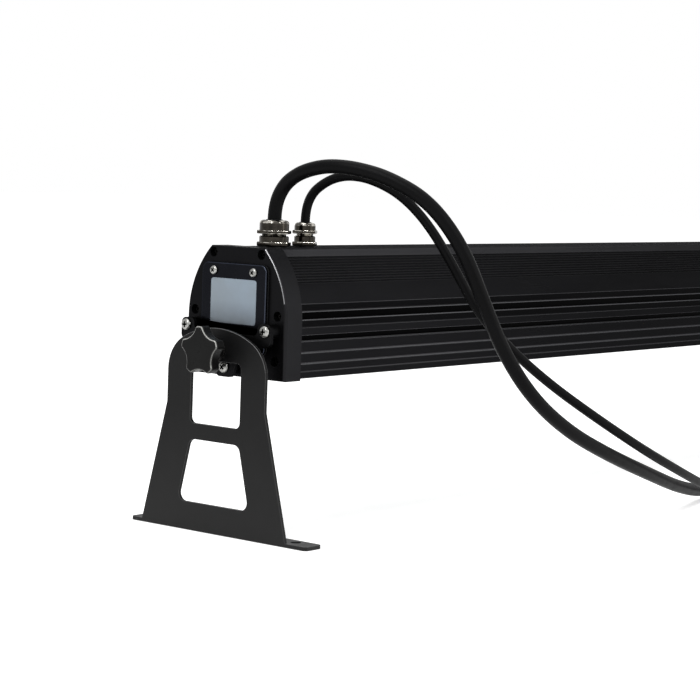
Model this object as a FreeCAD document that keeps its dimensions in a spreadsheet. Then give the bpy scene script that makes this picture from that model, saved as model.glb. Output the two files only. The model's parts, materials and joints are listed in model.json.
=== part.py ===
import FreeCAD, Part
import math
import os
import Sketcher

# A linear floodlight on two folded steel feet. X runs along the lamp, Z is up, and the near side is -Y.
# The origin lies on the ground, under the middle of the lamp and midway between the ends of the feet.

os.makedirs("parts", exist_ok=True)
doc = FreeCAD.newDocument("linear_floodlight")
sheet = doc.addObject("Spreadsheet::Sheet", "Sizes")

DRIVING_SIZES = [
    # lamp section
    ("lamp_length", 1000),
    ("lamp_width", 105),
    ("lamp_height", 103),
    ("lamp_top_width", 58),
    ("side_straight", 46),
    ("pivot_height", 146),
    ("pivot_rise", 22),
    ("overrun", 5),
    # end caps, their gaskets and screws
    ("cap_depth", 20),
    ("cap_wall", 6),
    ("cap_edge_round", 2.5),
    ("cap_screw_bore", 4.4),
    ("cap_screw_sink", 8),
    ("cap_screw_sink_depth", 7),
    ("cap_screw_size", 4),
    ("cap_screw_head", 6.8),
    ("cap_screw_head_high", 3.6),
    ("cap_screw_long", 30),
    ("cap_screw_top_apart", 50.8),
    ("cap_screw_top_margin", 5.2),
    ("cap_screw_mid_apart", 88),
    ("cap_screw_mid_rise", 50.7),
    ("cap_screw_low_apart", 84.6),
    ("cap_screw_low_rise", 15.2),
    ("end_gasket_thick", 1.5),
    ("end_gasket_inset", 2.2),
    # housing
    ("housing_side_inset", 1.5),
    ("housing_top_inset", 1),
    ("side_wall", 5),
    ("top_wall", 3),
    ("floor_thick", 11.5),
    ("web_rise", 26.5),
    ("web_thick", 4),
    ("port_radius", 4.2),
    ("port_bore", 4.1),
    ("rib_low_rise", 76.3),
    ("rib_pitch", 2.11),
    ("rib_gap", 1.05),
    ("rib_deep", 1.1),
    ("channel_deep", 1.8),
    ("middle_channel_deep", 3.2),
    ("slot_deep", 3.4),
    ("panel_deep", 0.8),
    # control cover on the left cap
    ("cover_width", 68),
    ("cover_height", 71.6),
    ("cover_thick", 2.5),
    ("cover_round", 6),
    ("cover_edge_round", 0.8),
    ("cover_rise", 18.2),
    ("cover_gasket_thick", 1),
    ("cover_screw_apart", 42),
    ("cover_screw_margin", 6.3),
    ("cover_screw_size", 3.5),
    ("cover_screw_head", 7.2),
    ("cover_screw_head_high", 2.4),
    ("cover_screw_long", 7.5),
    ("window_width", 48.3),
    ("window_height", 35.5),
    ("window_round", 2.5),
    ("window_rise", 42.1),
    ("window_fit", 0.15),
    ("window_lip", 1.8),
    ("window_lip_thick", 0.9),
    ("cap_room_width", 67),
    ("cap_room_height", 69),
    ("cap_room_rise", 19),
    ("board_size", 58),
    ("board_thick", 1.6),
    ("board_post_high", 3.5),
    ("board_post_radius", 2.8),
    ("board_post_margin", 5),
    ("board_screw_size", 2.5),
    ("board_screw_head", 4.6),
    ("board_screw_head_high", 1.8),
    ("board_screw_long", 4),
    ("display_width", 44),
    ("display_height", 31),
    ("display_gap", 1),
    # glass, its gasket and rails
    ("glass_width", 82),
    ("glass_thick", 5),
    ("glass_end_margin", 7),
    ("glass_fit", 0.5),
    ("glass_gasket_thick", 1),
    ("opening_width", 74),
    ("rail_half_reach", 48.5),
    ("rail_wide", 13),
    ("rail_thick", 2.5),
    ("rail_fit", 0.2),
    ("rail_screw_pitch", 105),
    ("rail_screw_size", 3),
    ("rail_screw_head", 5.4),
    ("rail_screw_head_high", 1.4),
    ("rail_screw_long", 8),
    ("rail_screw_edge", 3),
    # light engine
    ("led_board_width", 60),
    ("led_board_margin", 18),
    ("led_pitch", 51),
    ("led_size", 3.5),
    ("led_high", 1),
    ("lens_gap", 0.2),
    ("lens_high", 9),
    ("lens_top_radius", 6),
    ("lens_low_radius", 14),
    ("led_screw_pitch", 204),
    ("led_screw_apart", 48),
    # driver and terminals
    ("driver_long", 300),
    ("driver_width", 50),
    ("driver_high", 34),
    ("driver_foot_long", 16),
    ("driver_foot_thick", 3),
    ("driver_screw_apart", 34),
    ("driver_from_face", 370),
    ("terminal_long", 52),
    ("terminal_width", 26),
    ("terminal_high", 18),
    ("terminal_from_face", 130),
    ("terminal_hole_radius", 2.4),
    ("terminal_hole_deep", 7),
    # hub plates and pivots
    ("hub_ear_apart", 83.6),
    ("hub_ear_rise", 17),
    ("hub_low_drop", 13.7),
    ("hub_plate_thick", 3.5),
    ("hub_standoff", 8),
    ("hub_standoff_radius", 5.6),
    ("hub_margin", 8),
    ("hub_ear_margin", 5.8),
    ("hub_low_margin", 7.8),
    ("hub_waist_half", 15),
    ("hub_shoulder_rise", 6),
    ("hub_bridge_rise", 13),
    ("hub_corner_round", 4.6),
    ("hub_boss_radius", 8.5),
    ("hub_boss_high", 5),
    ("hub_screw_size", 5),
    ("hub_screw_fit", 0.2),
    ("hub_screw_head", 9.3),
    ("hub_screw_head_high", 3),
    ("hub_screw_long", 23),
    ("pivot_size", 8),
    ("pivot_fit", 0.08),
    ("pivot_head_flats", 13),
    ("pivot_head_thick", 3.4),
    ("friction_washer_thick", 1.4),
    ("friction_washer_radius", 8.3),
    ("running_gap", 0.1),
    # brackets
    ("sheet_thick", 3),
    ("bracket_crown_rise", 17.2),
    ("bracket_side_drop", 18.4),
    ("bracket_flare_drop", 45),
    ("bracket_top_width", 104.4),
    ("bracket_base_width", 155.6),
    ("bracket_corner_radius", 30),
    ("upper_window_drop", 8.8),
    ("upper_window_width", 53),
    ("upper_window_tall", 51.2),
    ("upper_window_round", 5),
    ("window_bridge", 12.8),
    ("lower_window_top_width", 52.4),
    ("lower_window_base_width", 76.6),
    ("lower_window_rise", 22.6),
    ("lower_window_round", 6.5),
    ("foot_depth", 20),
    ("foot_near_overhang", 20.7),
    ("foot_rear_overhang", 12.2),
    ("foot_round", 4),
    ("foot_hole", 8.5),
    ("foot_hole_offset", 0.8),
    # clamping knobs
    ("knob_thick", 19),
    ("knob_neck_high", 9),
    ("knob_neck_radius", 9.5),
    ("knob_reach", 19.5),
    ("knob_valley_reach", 14.6),
    ("knob_scoop_radius", 14),
    ("knob_lobe_round", 2.5),
    ("knob_edge_round", 1.6),
    ("knob_insert_radius", 6),
    ("knob_insert_long", 12),
    ("knob_stud_reach", 11),
    ("knob_washer_thick", 1.4),
    ("knob_washer_radius", 8.3),
    # cable glands
    ("power_gland_from_face", 43),
    ("power_gland_flats", 25.5),
    ("power_thread", 20),
    ("signal_gland_from_face", 81),
    ("signal_gland_flats", 19),
    ("signal_thread", 14),
    ("power_gland_round", 24),
    ("signal_gland_round", 17.5),
    ("gland_washer_thick", 1.2),
    ("gland_washer_inset", 0.8),
    ("gland_flange_high", 3.4),
    ("gland_body_high", 4.8),
    ("gland_nut_gap", 1.6),
    ("gland_nut_high", 3),
    ("power_dome_high", 8.2),
    ("signal_dome_high", 6.2),
    ("gland_dome_round", 2.6),
    ("gland_mouth_wall", 2.2),
    ("gland_seal_proud", 0.4),
    ("gland_thread_up", 4),
    ("gland_fit", 0.15),
    ("locknut_thick", 4),
    ("locknut_spread", 1),
    # cables and their plugs
    ("power_cable_width", 11.4),
    ("signal_cable_width", 7.8),
    ("power_plug_radius", 13),
    ("power_plug_long", 52),
    ("power_collar_radius", 9.5),
    ("power_collar_long", 16),
    ("signal_plug_radius", 9),
    ("signal_plug_long", 40),
    ("signal_collar_radius", 6.5),
    ("signal_collar_long", 12),
    ("plug_wall", 2),
    ("plug_mouth_deep", 12),
    ("pin_radius", 1.1),
    ("pin_long", 9),
]

for row, (alias, value) in enumerate(DRIVING_SIZES, start=1):
    sheet.set(f"A{row}", alias.replace("_", " "))
    sheet.set(f"B{row}", str(value))
    sheet.setAlias(f"B{row}", alias)
doc.recompute()


class Size:
    # A length with its value and the formula that binds it to the sheet.
    def __init__(self, value, formula):
        self.value = float(value)
        self.formula = formula

    def joined(self, sign, other, value):
        return Size(value, f"({self.formula} {sign} {sized(other).formula})")

    def __add__(self, other):
        return self.joined("+", other, self.value + sized(other).value)

    def __sub__(self, other):
        return self.joined("-", other, self.value - sized(other).value)

    def __mul__(self, other):
        return self.joined("*", other, self.value * sized(other).value)

    def __truediv__(self, other):
        return self.joined("/", other, self.value / sized(other).value)

    def __neg__(self):
        return Size(-self.value, f"(0 - {self.formula})")

    def root(self):
        return Size(math.sqrt(self.value), f"sqrt({self.formula})")


def sized(number):
    return number if isinstance(number, Size) else Size(number, repr(float(number)))


class SizeSheet:
    # The sheet's driving sizes by name.
    def __getattr__(self, alias):
        return Size(sheet.get(alias), f"Sizes.{alias}")


s = SizeSheet()
NONE = sized(0)
SIDES = (sized(-1), sized(1))
X_AXIS = FreeCAD.Vector(1, 0, 0)
Y_AXIS = FreeCAD.Vector(0, 1, 0)
Z_AXIS = FreeCAD.Vector(0, 0, 1)
UPRIGHT = FreeCAD.Rotation()
ALONG_X = FreeCAD.Rotation(Y_AXIS, 90)
AGAINST_X = FreeCAD.Rotation(Y_AXIS, -90)
TURNED = FreeCAD.Rotation(Z_AXIS, 180)
# Two places closer than this count as one, and a direction this steady counts as straight
NEAR = 1e-6
STRAIGHT_SHARE = 0.999
# How much of the shorter run beside a corner of a cable its arc may take
ARC_SHARE = 0.45
# How many there are of what repeats
RIB_COUNT = 10
TERMINAL_WAY_COUNT = 5
POWER_PIN_COUNT = 3
SIGNAL_PIN_COUNT = 5
KNOB_LOBE_COUNT = 5
# Where the first lobe of a knob points, in degrees from +Y towards +Z, and the middles of its scoops
KNOB_FIRST_LOBE = 16
KNOB_SCOOP_TURNS = [
    math.radians(KNOB_FIRST_LOBE + 360 / KNOB_LOBE_COUNT * (number + 0.5))
    for number in range(KNOB_LOBE_COUNT)
]

# Places that several pieces share
underside = s.pivot_height - s.pivot_rise
lamp_top = underside + s.lamp_height
half_length = s.lamp_length / 2
half_width = s.lamp_width / 2
middle_shift = (s.foot_near_overhang - s.foot_rear_overhang) / 2
side_bulge = half_width - s.lamp_top_width / 2
side_climb = s.lamp_height - s.side_straight
side_radius = (side_bulge * side_bulge + side_climb * side_climb) / (side_bulge * 2)
side_centre = half_width - side_radius
side_level = underside + s.side_straight
housing_low = underside + s.housing_side_inset
housing_high = lamp_top - s.housing_top_inset
housing_start = s.cap_depth + s.end_gasket_thick
housing_long = s.lamp_length - housing_start * 2
led_board_long = housing_long - s.led_board_margin * 2
floor_top = housing_low + s.floor_thick
web_low = underside + s.web_rise
web_top = web_low + s.web_thick
CAP_SCREWS = [
    (s.cap_screw_top_apart / 2, lamp_top - s.cap_screw_top_margin),
    (s.cap_screw_mid_apart / 2, underside + s.cap_screw_mid_rise),
    (s.cap_screw_low_apart / 2, underside + s.cap_screw_low_rise),
]
HUB_SCREWS = [
    (s.hub_ear_apart / 2, s.pivot_height + s.hub_ear_rise),
    (-s.hub_ear_apart / 2, s.pivot_height + s.hub_ear_rise),
    (NONE, s.pivot_height - s.hub_low_drop),
]
cover_low = underside + s.cover_rise
window_low = underside + s.window_rise
COVER_SCREWS = [
    (side * s.cover_screw_apart / 2, height)
    for side in SIDES
    for height in (
        cover_low + s.cover_screw_margin,
        cover_low + s.cover_height - s.cover_screw_margin,
    )
]
# Distances outward from a cap's face, along the pivot
plate_back = s.hub_standoff
plate_front = plate_back + s.hub_plate_thick
boss_front = plate_front + s.hub_boss_high
sheet_back = boss_front + s.friction_washer_thick + s.running_gap
sheet_front = sheet_back + s.sheet_thick
knob_back = sheet_front + s.running_gap + s.knob_washer_thick


def bind(thing, **sizes):
    for name, size in sizes.items():
        thing.setExpression(name, sized(size).formula)
    return thing


def put(thing, x=NONE, y=NONE, z=NONE, turn=UPRIGHT):
    spot = [sized(x), sized(y), sized(z)]
    thing.Placement = FreeCAD.Placement(FreeCAD.Vector(*(size.value for size in spot)), turn)
    for letter, size in zip("xyz", spot):
        thing.setExpression(f"Placement.Base.{letter}", size.formula)
    return thing


def box(long, wide, high, x, y, z):
    return put(bind(doc.addObject("Part::Box", "box"), Length=long, Width=wide, Height=high), x, y, z)


def round_bar(radius, long, x, y, z, turn=UPRIGHT):
    bar = bind(doc.addObject("Part::Cylinder", "bar"), Radius=radius, Height=long)
    return put(bar, x, y, z, turn)


def hex_bar(flats, long, x, y, z, turn=UPRIGHT):
    bar = doc.addObject("Part::Prism", "hex_bar")
    bar.Polygon = 6
    bind(bar, Circumradius=flats / sized(3).root(), Height=long)
    return put(bar, x, y, z, turn)


def joined(things):
    if len(things) == 1:
        return things[0]
    union = doc.addObject("Part::MultiFuse", "union")
    union.Shapes = things
    return union


def less(base, tools):
    result = doc.addObject("Part::Cut", "less")
    result.Base = base
    result.Tool = joined(tools)
    return result


def rounded(base, radius, wanted):
    doc.recompute()
    edges = [i for i, edge in enumerate(base.Shape.Edges, start=1) if wanted(edge)]
    result = doc.addObject("Part::Fillet", "rounded")
    result.Base = base
    result.Edges = [(i, radius.value, radius.value) for i in edges]
    return result


def grouped(things):
    group = doc.addObject("Part::Compound", "group")
    group.Links = things
    return group


pieces = []


def piece(label, thing):
    thing.Label = label
    pieces.append(thing)
    return thing


def lamp_piece(label, thing):
    # A piece that is modelled about the lamp's own middle.
    return piece(label, put(thing, NONE, middle_shift, NONE))


def end_piece(label, thing, end):
    # A piece that is modelled from the face of a cap, with X pointing into the lamp.
    if end == "left":
        return piece(label, put(thing, -half_length, middle_shift, NONE))
    return piece(label, put(thing, half_length, middle_shift, NONE, TURNED))


# Sketched bodies
def new_body(name):
    return doc.addObject("PartDesign::Body", name)


def sketch_in(body, role, offset=NONE):
    sketch = body.newObject("Sketcher::SketchObject", f"{body.Name}_sketch")
    plane = next(part for part in body.Origin.OriginFeatures if part.Role == role)
    sketch.AttachmentSupport = [(plane, "")]
    sketch.MapMode = "FlatFace"
    sketch.setExpression("AttachmentOffset.Base.z", sized(offset).formula)
    return sketch


def hold(sketch, kind, geometry, point, size):
    number = sketch.addConstraint(Sketcher.Constraint(kind, -1, 1, geometry, point, size.value))
    sketch.setExpression(f"Constraints[{number}]", size.formula)


def draw_outline(sketch, corners):
    # Each corner is (across, up), or (across, up, centre) where an arc about that centre leaves it.
    # The outline runs anticlockwise, and so do its arcs.
    first = sketch.GeometryCount
    count = len(corners)
    for index, corner in enumerate(corners):
        after = corners[(index + 1) % count]
        start = FreeCAD.Vector(corner[0].value, corner[1].value, 0)
        end = FreeCAD.Vector(after[0].value, after[1].value, 0)
        if len(corner) == 2:
            sketch.addGeometry(Part.LineSegment(start, end))
            continue
        centre = FreeCAD.Vector(corner[2][0].value, corner[2][1].value, 0)
        circle = Part.Circle(centre, FreeCAD.Vector(0, 0, 1), (start - centre).Length)
        turns = [math.atan2(point.y - centre.y, point.x - centre.x) for point in (start, end)]
        sketch.addGeometry(Part.ArcOfCircle(circle, turns[0], turns[1]))
    for index, corner in enumerate(corners):
        edge = first + index
        following = first + (index + 1) % count
        sketch.addConstraint(Sketcher.Constraint("Coincident", edge, 2, following, 1))
        hold(sketch, "DistanceX", edge, 1, corner[0])
        hold(sketch, "DistanceY", edge, 1, corner[1])
        if len(corner) == 3:
            reach = corner[0] - corner[2][0]
            rise = corner[1] - corner[2][1]
            radius = (reach * reach + rise * rise).root()
            number = sketch.addConstraint(Sketcher.Constraint("Radius", edge, radius.value))
            sketch.setExpression(f"Constraints[{number}]", radius.formula)


def draw_circle(sketch, across, up, radius):
    centre = FreeCAD.Vector(across.value, up.value, 0)
    edge = sketch.addGeometry(Part.Circle(centre, FreeCAD.Vector(0, 0, 1), radius.value))
    hold(sketch, "DistanceX", edge, 3, across)
    hold(sketch, "DistanceY", edge, 3, up)
    number = sketch.addConstraint(Sketcher.Constraint("Radius", edge, radius.value))
    sketch.setExpression(f"Constraints[{number}]", radius.formula)


def pad(body, sketch, length):
    feature = body.newObject("PartDesign::Pad", f"{body.Name}_pad")
    feature.Profile = sketch
    feature.setExpression("Length", length.formula)
    doc.recompute()
    return feature


def pocket(body, sketch, length):
    # The cut runs the same way as a pad on the same sketch would, and its volume is compared.
    before = body.Shape.Volume
    feature = body.newObject("PartDesign::Pocket", f"{body.Name}_pocket")
    feature.Profile = sketch
    feature.setExpression("Length", length.formula)
    feature.Reversed = True
    doc.recompute()
    if before - body.Shape.Volume < NEAR:
        raise ValueError(f"{body.Name} has a pocket that cuts nothing")
    return feature


def round_edges(body, radius, wanted):
    doc.recompute()
    tip = body.Tip
    edges = [f"Edge{i}" for i, edge in enumerate(tip.Shape.Edges, start=1) if wanted(edge)]
    feature = body.newObject("PartDesign::Fillet", f"{body.Name}_fillet")
    feature.Base = (tip, edges)
    feature.setExpression("Radius", radius.formula)
    doc.recompute()
    return feature


def runs_along(edge, axis):
    if not isinstance(edge.Curve, Part.Line):
        return False
    return abs(edge.Curve.Direction.dot(axis)) > STRAIGHT_SHARE


def lies_at(edge, place):
    # Whether an edge lies wholly in the plane across X at a place.
    return edge.BoundBox.XLength < NEAR and abs(edge.BoundBox.XMax - place.value) < NEAR


def rectangle(low_across, high_across, low_up, high_up):
    return [
        (low_across, low_up),
        (high_across, low_up),
        (high_across, high_up),
        (low_across, high_up),
    ]


def lamp_section(inset, top_inset):
    # The lamp's cross-section: straight lower sides, arcs above them and a flat top.
    low = underside + inset
    high = lamp_top - top_inset
    half = half_width - inset
    radius = side_radius - inset
    top_half = side_centre + (radius * radius - (high - side_level) * (high - side_level)).root()
    return [
        (-half, low),
        (half, low),
        (half, side_level, (side_centre, side_level)),
        (top_half, high),
        (-top_half, high, (-side_centre, side_level)),
        (-half, side_level),
    ]


def side_reach(height, inset):
    # How far the lamp's side stands from its middle plane at a height.
    if height.value <= side_level.value:
        return half_width - inset
    radius = side_radius - inset
    climb = height - side_level
    return side_centre + (radius * radius - climb * climb).root()


def pan_screw(size, head, head_high, long, x, y, z, turn):
    # Its head starts at the given point and its shank runs the other way.
    towards = turn.multVec(Z_AXIS)
    back = [spot - long * sized(step) for spot, step in zip((x, y, z), towards)]
    cap = round_bar(head / 2, head_high, x, y, z, turn)
    shank = round_bar(size / 2, long, back[0], back[1], back[2], turn)
    return joined([cap, shank])


def make_housing():
    body = new_body("housing_profile")
    outer = sketch_in(body, "YZ_Plane", -housing_long / 2)
    draw_outline(outer, lamp_section(s.housing_side_inset, s.housing_top_inset))
    pad(body, outer, housing_long)
    cavity_half = half_width - s.housing_side_inset - s.side_wall
    total = housing_long + s.overrun * 2
    start = -total / 2
    # the chamber over the web
    upper = new_body("upper_chamber")
    inner_high = housing_high - s.top_wall
    inner_radius = side_radius - s.housing_side_inset - s.side_wall
    climb = inner_high - side_level
    inner_top = side_centre + (inner_radius * inner_radius - climb * climb).root()
    outline = sketch_in(upper, "YZ_Plane", start)
    draw_outline(
        outline,
        [
            (-cavity_half, web_top),
            (cavity_half, web_top),
            (cavity_half, side_level, (side_centre, side_level)),
            (inner_top, inner_high),
            (-inner_top, inner_high, (-side_centre, side_level)),
            (-cavity_half, side_level),
        ],
    )
    pad(upper, outline, total)
    lower = box(total, cavity_half * 2, web_low - floor_top, start, -cavity_half, floor_top)
    ports = [
        round_bar(s.port_radius, total, start, side * across, up, ALONG_X)
        for across, up in CAP_SCREWS
        for side in SIDES
    ]
    chambers = less(joined([upper, lower]), ports)
    bores = [
        round_bar(s.port_bore / 2, total, start, side * across, up, ALONG_X)
        for across, up in CAP_SCREWS
        for side in SIDES
    ]
    # the light opening, with steps for the glass and for its rails
    glass_half = s.glass_width / 2 + s.glass_fit
    glass_room = s.glass_thick + s.glass_gasket_thick
    glass_total = housing_long - (s.glass_end_margin - s.glass_fit) * 2
    rail_step = box(
        total,
        s.rail_half_reach * 2,
        s.rail_thick + s.overrun,
        start,
        -s.rail_half_reach,
        housing_low - s.overrun,
    )
    glass_step = box(
        glass_total,
        glass_half * 2,
        glass_room + s.overrun,
        -glass_total / 2,
        -glass_half,
        housing_low + s.rail_thick - s.overrun,
    )
    light_long = glass_total - s.glass_end_margin * 2
    light_step = box(
        light_long,
        s.opening_width,
        s.floor_thick + s.overrun,
        -light_long / 2,
        -s.opening_width / 2,
        housing_low,
    )
    cuts = [chambers, rail_step, glass_step, light_step] + bores
    cuts += rib_cuts(start, total) + channel_cuts(start, total)
    # holes for the glands and for the screws of the rails, the light engine, the driver and the terminals
    gland_low = inner_high - s.overrun
    for from_face, thread in gland_places():
        x = from_face - half_length
        cuts.append(round_bar(thread / 2 + s.gland_fit, s.top_wall + s.overrun * 2, x, NONE, gland_low))
    for x, y in rail_screw_places():
        cuts.append(round_bar(s.rail_screw_size / 2, s.rail_screw_long, x, y, housing_low + s.rail_thick))
    screw_low = web_low - s.overrun / 2
    for x, y in led_screw_places() + driver_screw_places():
        cuts.append(round_bar(s.board_screw_size / 2, s.web_thick + s.overrun, x, y, screw_low))
    return lamp_piece("housing", less(body, cuts))


def rib_cuts(start, total):
    cuts = []
    for number in range(RIB_COUNT):
        low = underside + s.rib_low_rise + s.rib_pitch * number
        for side in (-1, 1):
            cuts.append(side_cut(start, total, low, s.rib_gap, s.rib_deep, side))
    return cuts


# Channels along the lower sides, with thin fins and beads left between them: where each starts and ends as
# shares of the lamp's height, then its depth
SIDE_CHANNEL_SHARES = [
    (0.5301, 0.5825, s.channel_deep),
    (0.468, 0.5204, s.middle_channel_deep),
    (0.4058, 0.4583, s.channel_deep),
    (0.3068, 0.3447, s.slot_deep),
    (0.2155, 0.2971, s.panel_deep),
    (0.133, 0.2058, s.panel_deep),
    (0.067, 0.1233, s.panel_deep),
]


def channel_cuts(start, total):
    cuts = []
    for low_share, high_share, deep in SIDE_CHANNEL_SHARES:
        low = underside + s.lamp_height * low_share
        high = s.lamp_height * (high_share - low_share)
        for side in (-1, 1):
            cuts.append(side_cut(start, total, low, high, deep, side))
    return cuts


def side_cut(start, total, low, high, deep, side):
    reach = side_reach(low + high / 2, s.housing_side_inset) - deep
    wide = deep + s.overrun
    return box(total, wide, high, start, reach if side > 0 else -reach - wide, low)


def gland_places():
    return [(s.power_gland_from_face, s.power_thread), (s.signal_gland_from_face, s.signal_thread)]


def spread(count, pitch):
    return [pitch * (number - (count - 1) / 2) for number in range(count)]


def spread_along(long, margin, pitch):
    # As many places as fit a length at a pitch, with the margin kept at each end.
    count = int((long - margin * 2).value / pitch.value) + 1
    return spread(count, pitch)


def rail_screw_places():
    reach = s.rail_half_reach - s.rail_screw_edge
    along = spread_along(housing_long, s.led_board_margin, s.rail_screw_pitch)
    return [(x, side * reach) for x in along for side in SIDES]


def led_screw_places():
    half = s.led_screw_apart / 2
    along = spread_along(led_board_long, s.led_board_margin, s.led_screw_pitch)
    return [(x, side * half) for x in along for side in SIDES]


def driver_screw_places():
    reach = (s.driver_long + s.driver_foot_long) / 2
    half = s.driver_screw_apart / 2
    middle = s.driver_from_face - half_length
    return [(middle + along * reach, across * half) for along in SIDES for across in SIDES]


def make_end_cap(end):
    body = new_body(f"{end}_cap_body")
    outline = sketch_in(body, "YZ_Plane")
    draw_outline(outline, lamp_section(NONE, NONE))
    pad(body, outline, s.cap_depth)
    round_edges(body, s.cap_edge_round, lambda edge: lies_at(edge, NONE))
    holes = sketch_in(body, "YZ_Plane")
    sinks = sketch_in(body, "YZ_Plane")
    for across, up in CAP_SCREWS:
        for side in SIDES:
            draw_circle(holes, side * across, up, s.cap_screw_bore / 2)
            draw_circle(sinks, side * across, up, s.cap_screw_sink / 2)
    pocket(body, holes, s.cap_depth)
    pocket(body, sinks, s.cap_screw_sink_depth)
    threads = sketch_in(body, "YZ_Plane")
    for across, up in HUB_SCREWS:
        draw_circle(threads, across, up, s.hub_screw_size / 2)
    pocket(body, threads, s.hub_screw_long - plate_front + s.hub_screw_fit)
    if end == "right":
        return end_piece("end_cap_right", body, end)
    room = sketch_in(body, "YZ_Plane", s.cap_wall)
    room_half = s.cap_room_width / 2
    room_low = underside + s.cap_room_rise
    draw_outline(room, rectangle(-room_half, room_half, room_low, room_low + s.cap_room_height))
    pocket(body, room, s.cap_depth)
    screws = sketch_in(body, "YZ_Plane")
    for across, up in COVER_SCREWS:
        draw_circle(screws, across, up, s.cover_screw_size / 2)
    cover_top = s.cover_thick + s.cover_gasket_thick
    pocket(body, screws, s.cover_screw_long - cover_top + s.hub_screw_fit)
    sight = sketch_in(body, "YZ_Plane")
    sight_half = s.display_width / 2 + s.window_fit
    sight_low = window_low + (s.window_height - s.display_height) / 2 - s.window_fit
    sight_high = sight_low + s.display_height + s.window_fit * 2
    draw_outline(sight, rectangle(-sight_half, sight_half, sight_low, sight_high))
    pocket(body, sight, s.cap_wall)
    posts = [
        less(
            round_bar(s.board_post_radius, s.board_post_high, s.cap_wall, y, z, ALONG_X),
            [round_bar(s.board_screw_size / 2, s.board_post_high, s.cap_wall, y, z, ALONG_X)],
        )
        for y, z in board_screw_places()
    ]
    return end_piece("end_cap_left", joined([body] + posts), end)


def board_screw_places():
    reach = s.board_size / 2 - s.board_post_margin
    middle = window_low + s.window_height / 2 - s.board_post_margin
    return [(across * reach, middle + up * reach) for across in SIDES for up in SIDES]


def make_end_gasket(end):
    body = new_body(f"{end}_gasket_body")
    outline = sketch_in(body, "YZ_Plane", s.cap_depth)
    draw_outline(outline, lamp_section(s.end_gasket_inset, s.end_gasket_inset))
    inside = s.housing_side_inset + s.side_wall
    draw_outline(outline, lamp_section(inside + s.port_radius, inside))
    pad(body, outline, s.end_gasket_thick)
    holes = sketch_in(body, "YZ_Plane", s.cap_depth)
    for across, up in CAP_SCREWS:
        for side in SIDES:
            draw_circle(holes, side * across, up, s.cap_screw_bore / 2)
    pocket(body, holes, s.end_gasket_thick)
    return end_piece(f"end_gasket_{end}", body, end)


def make_cap_screws(end):
    screws = [
        pan_screw(
            s.cap_screw_size,
            s.cap_screw_head,
            s.cap_screw_head_high,
            s.cap_screw_long,
            s.cap_screw_sink_depth,
            side * across,
            up,
            AGAINST_X,
        )
        for across, up in CAP_SCREWS
        for side in SIDES
    ]
    return end_piece(f"end_cap_screws_{end}", grouped(screws), end)


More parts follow.
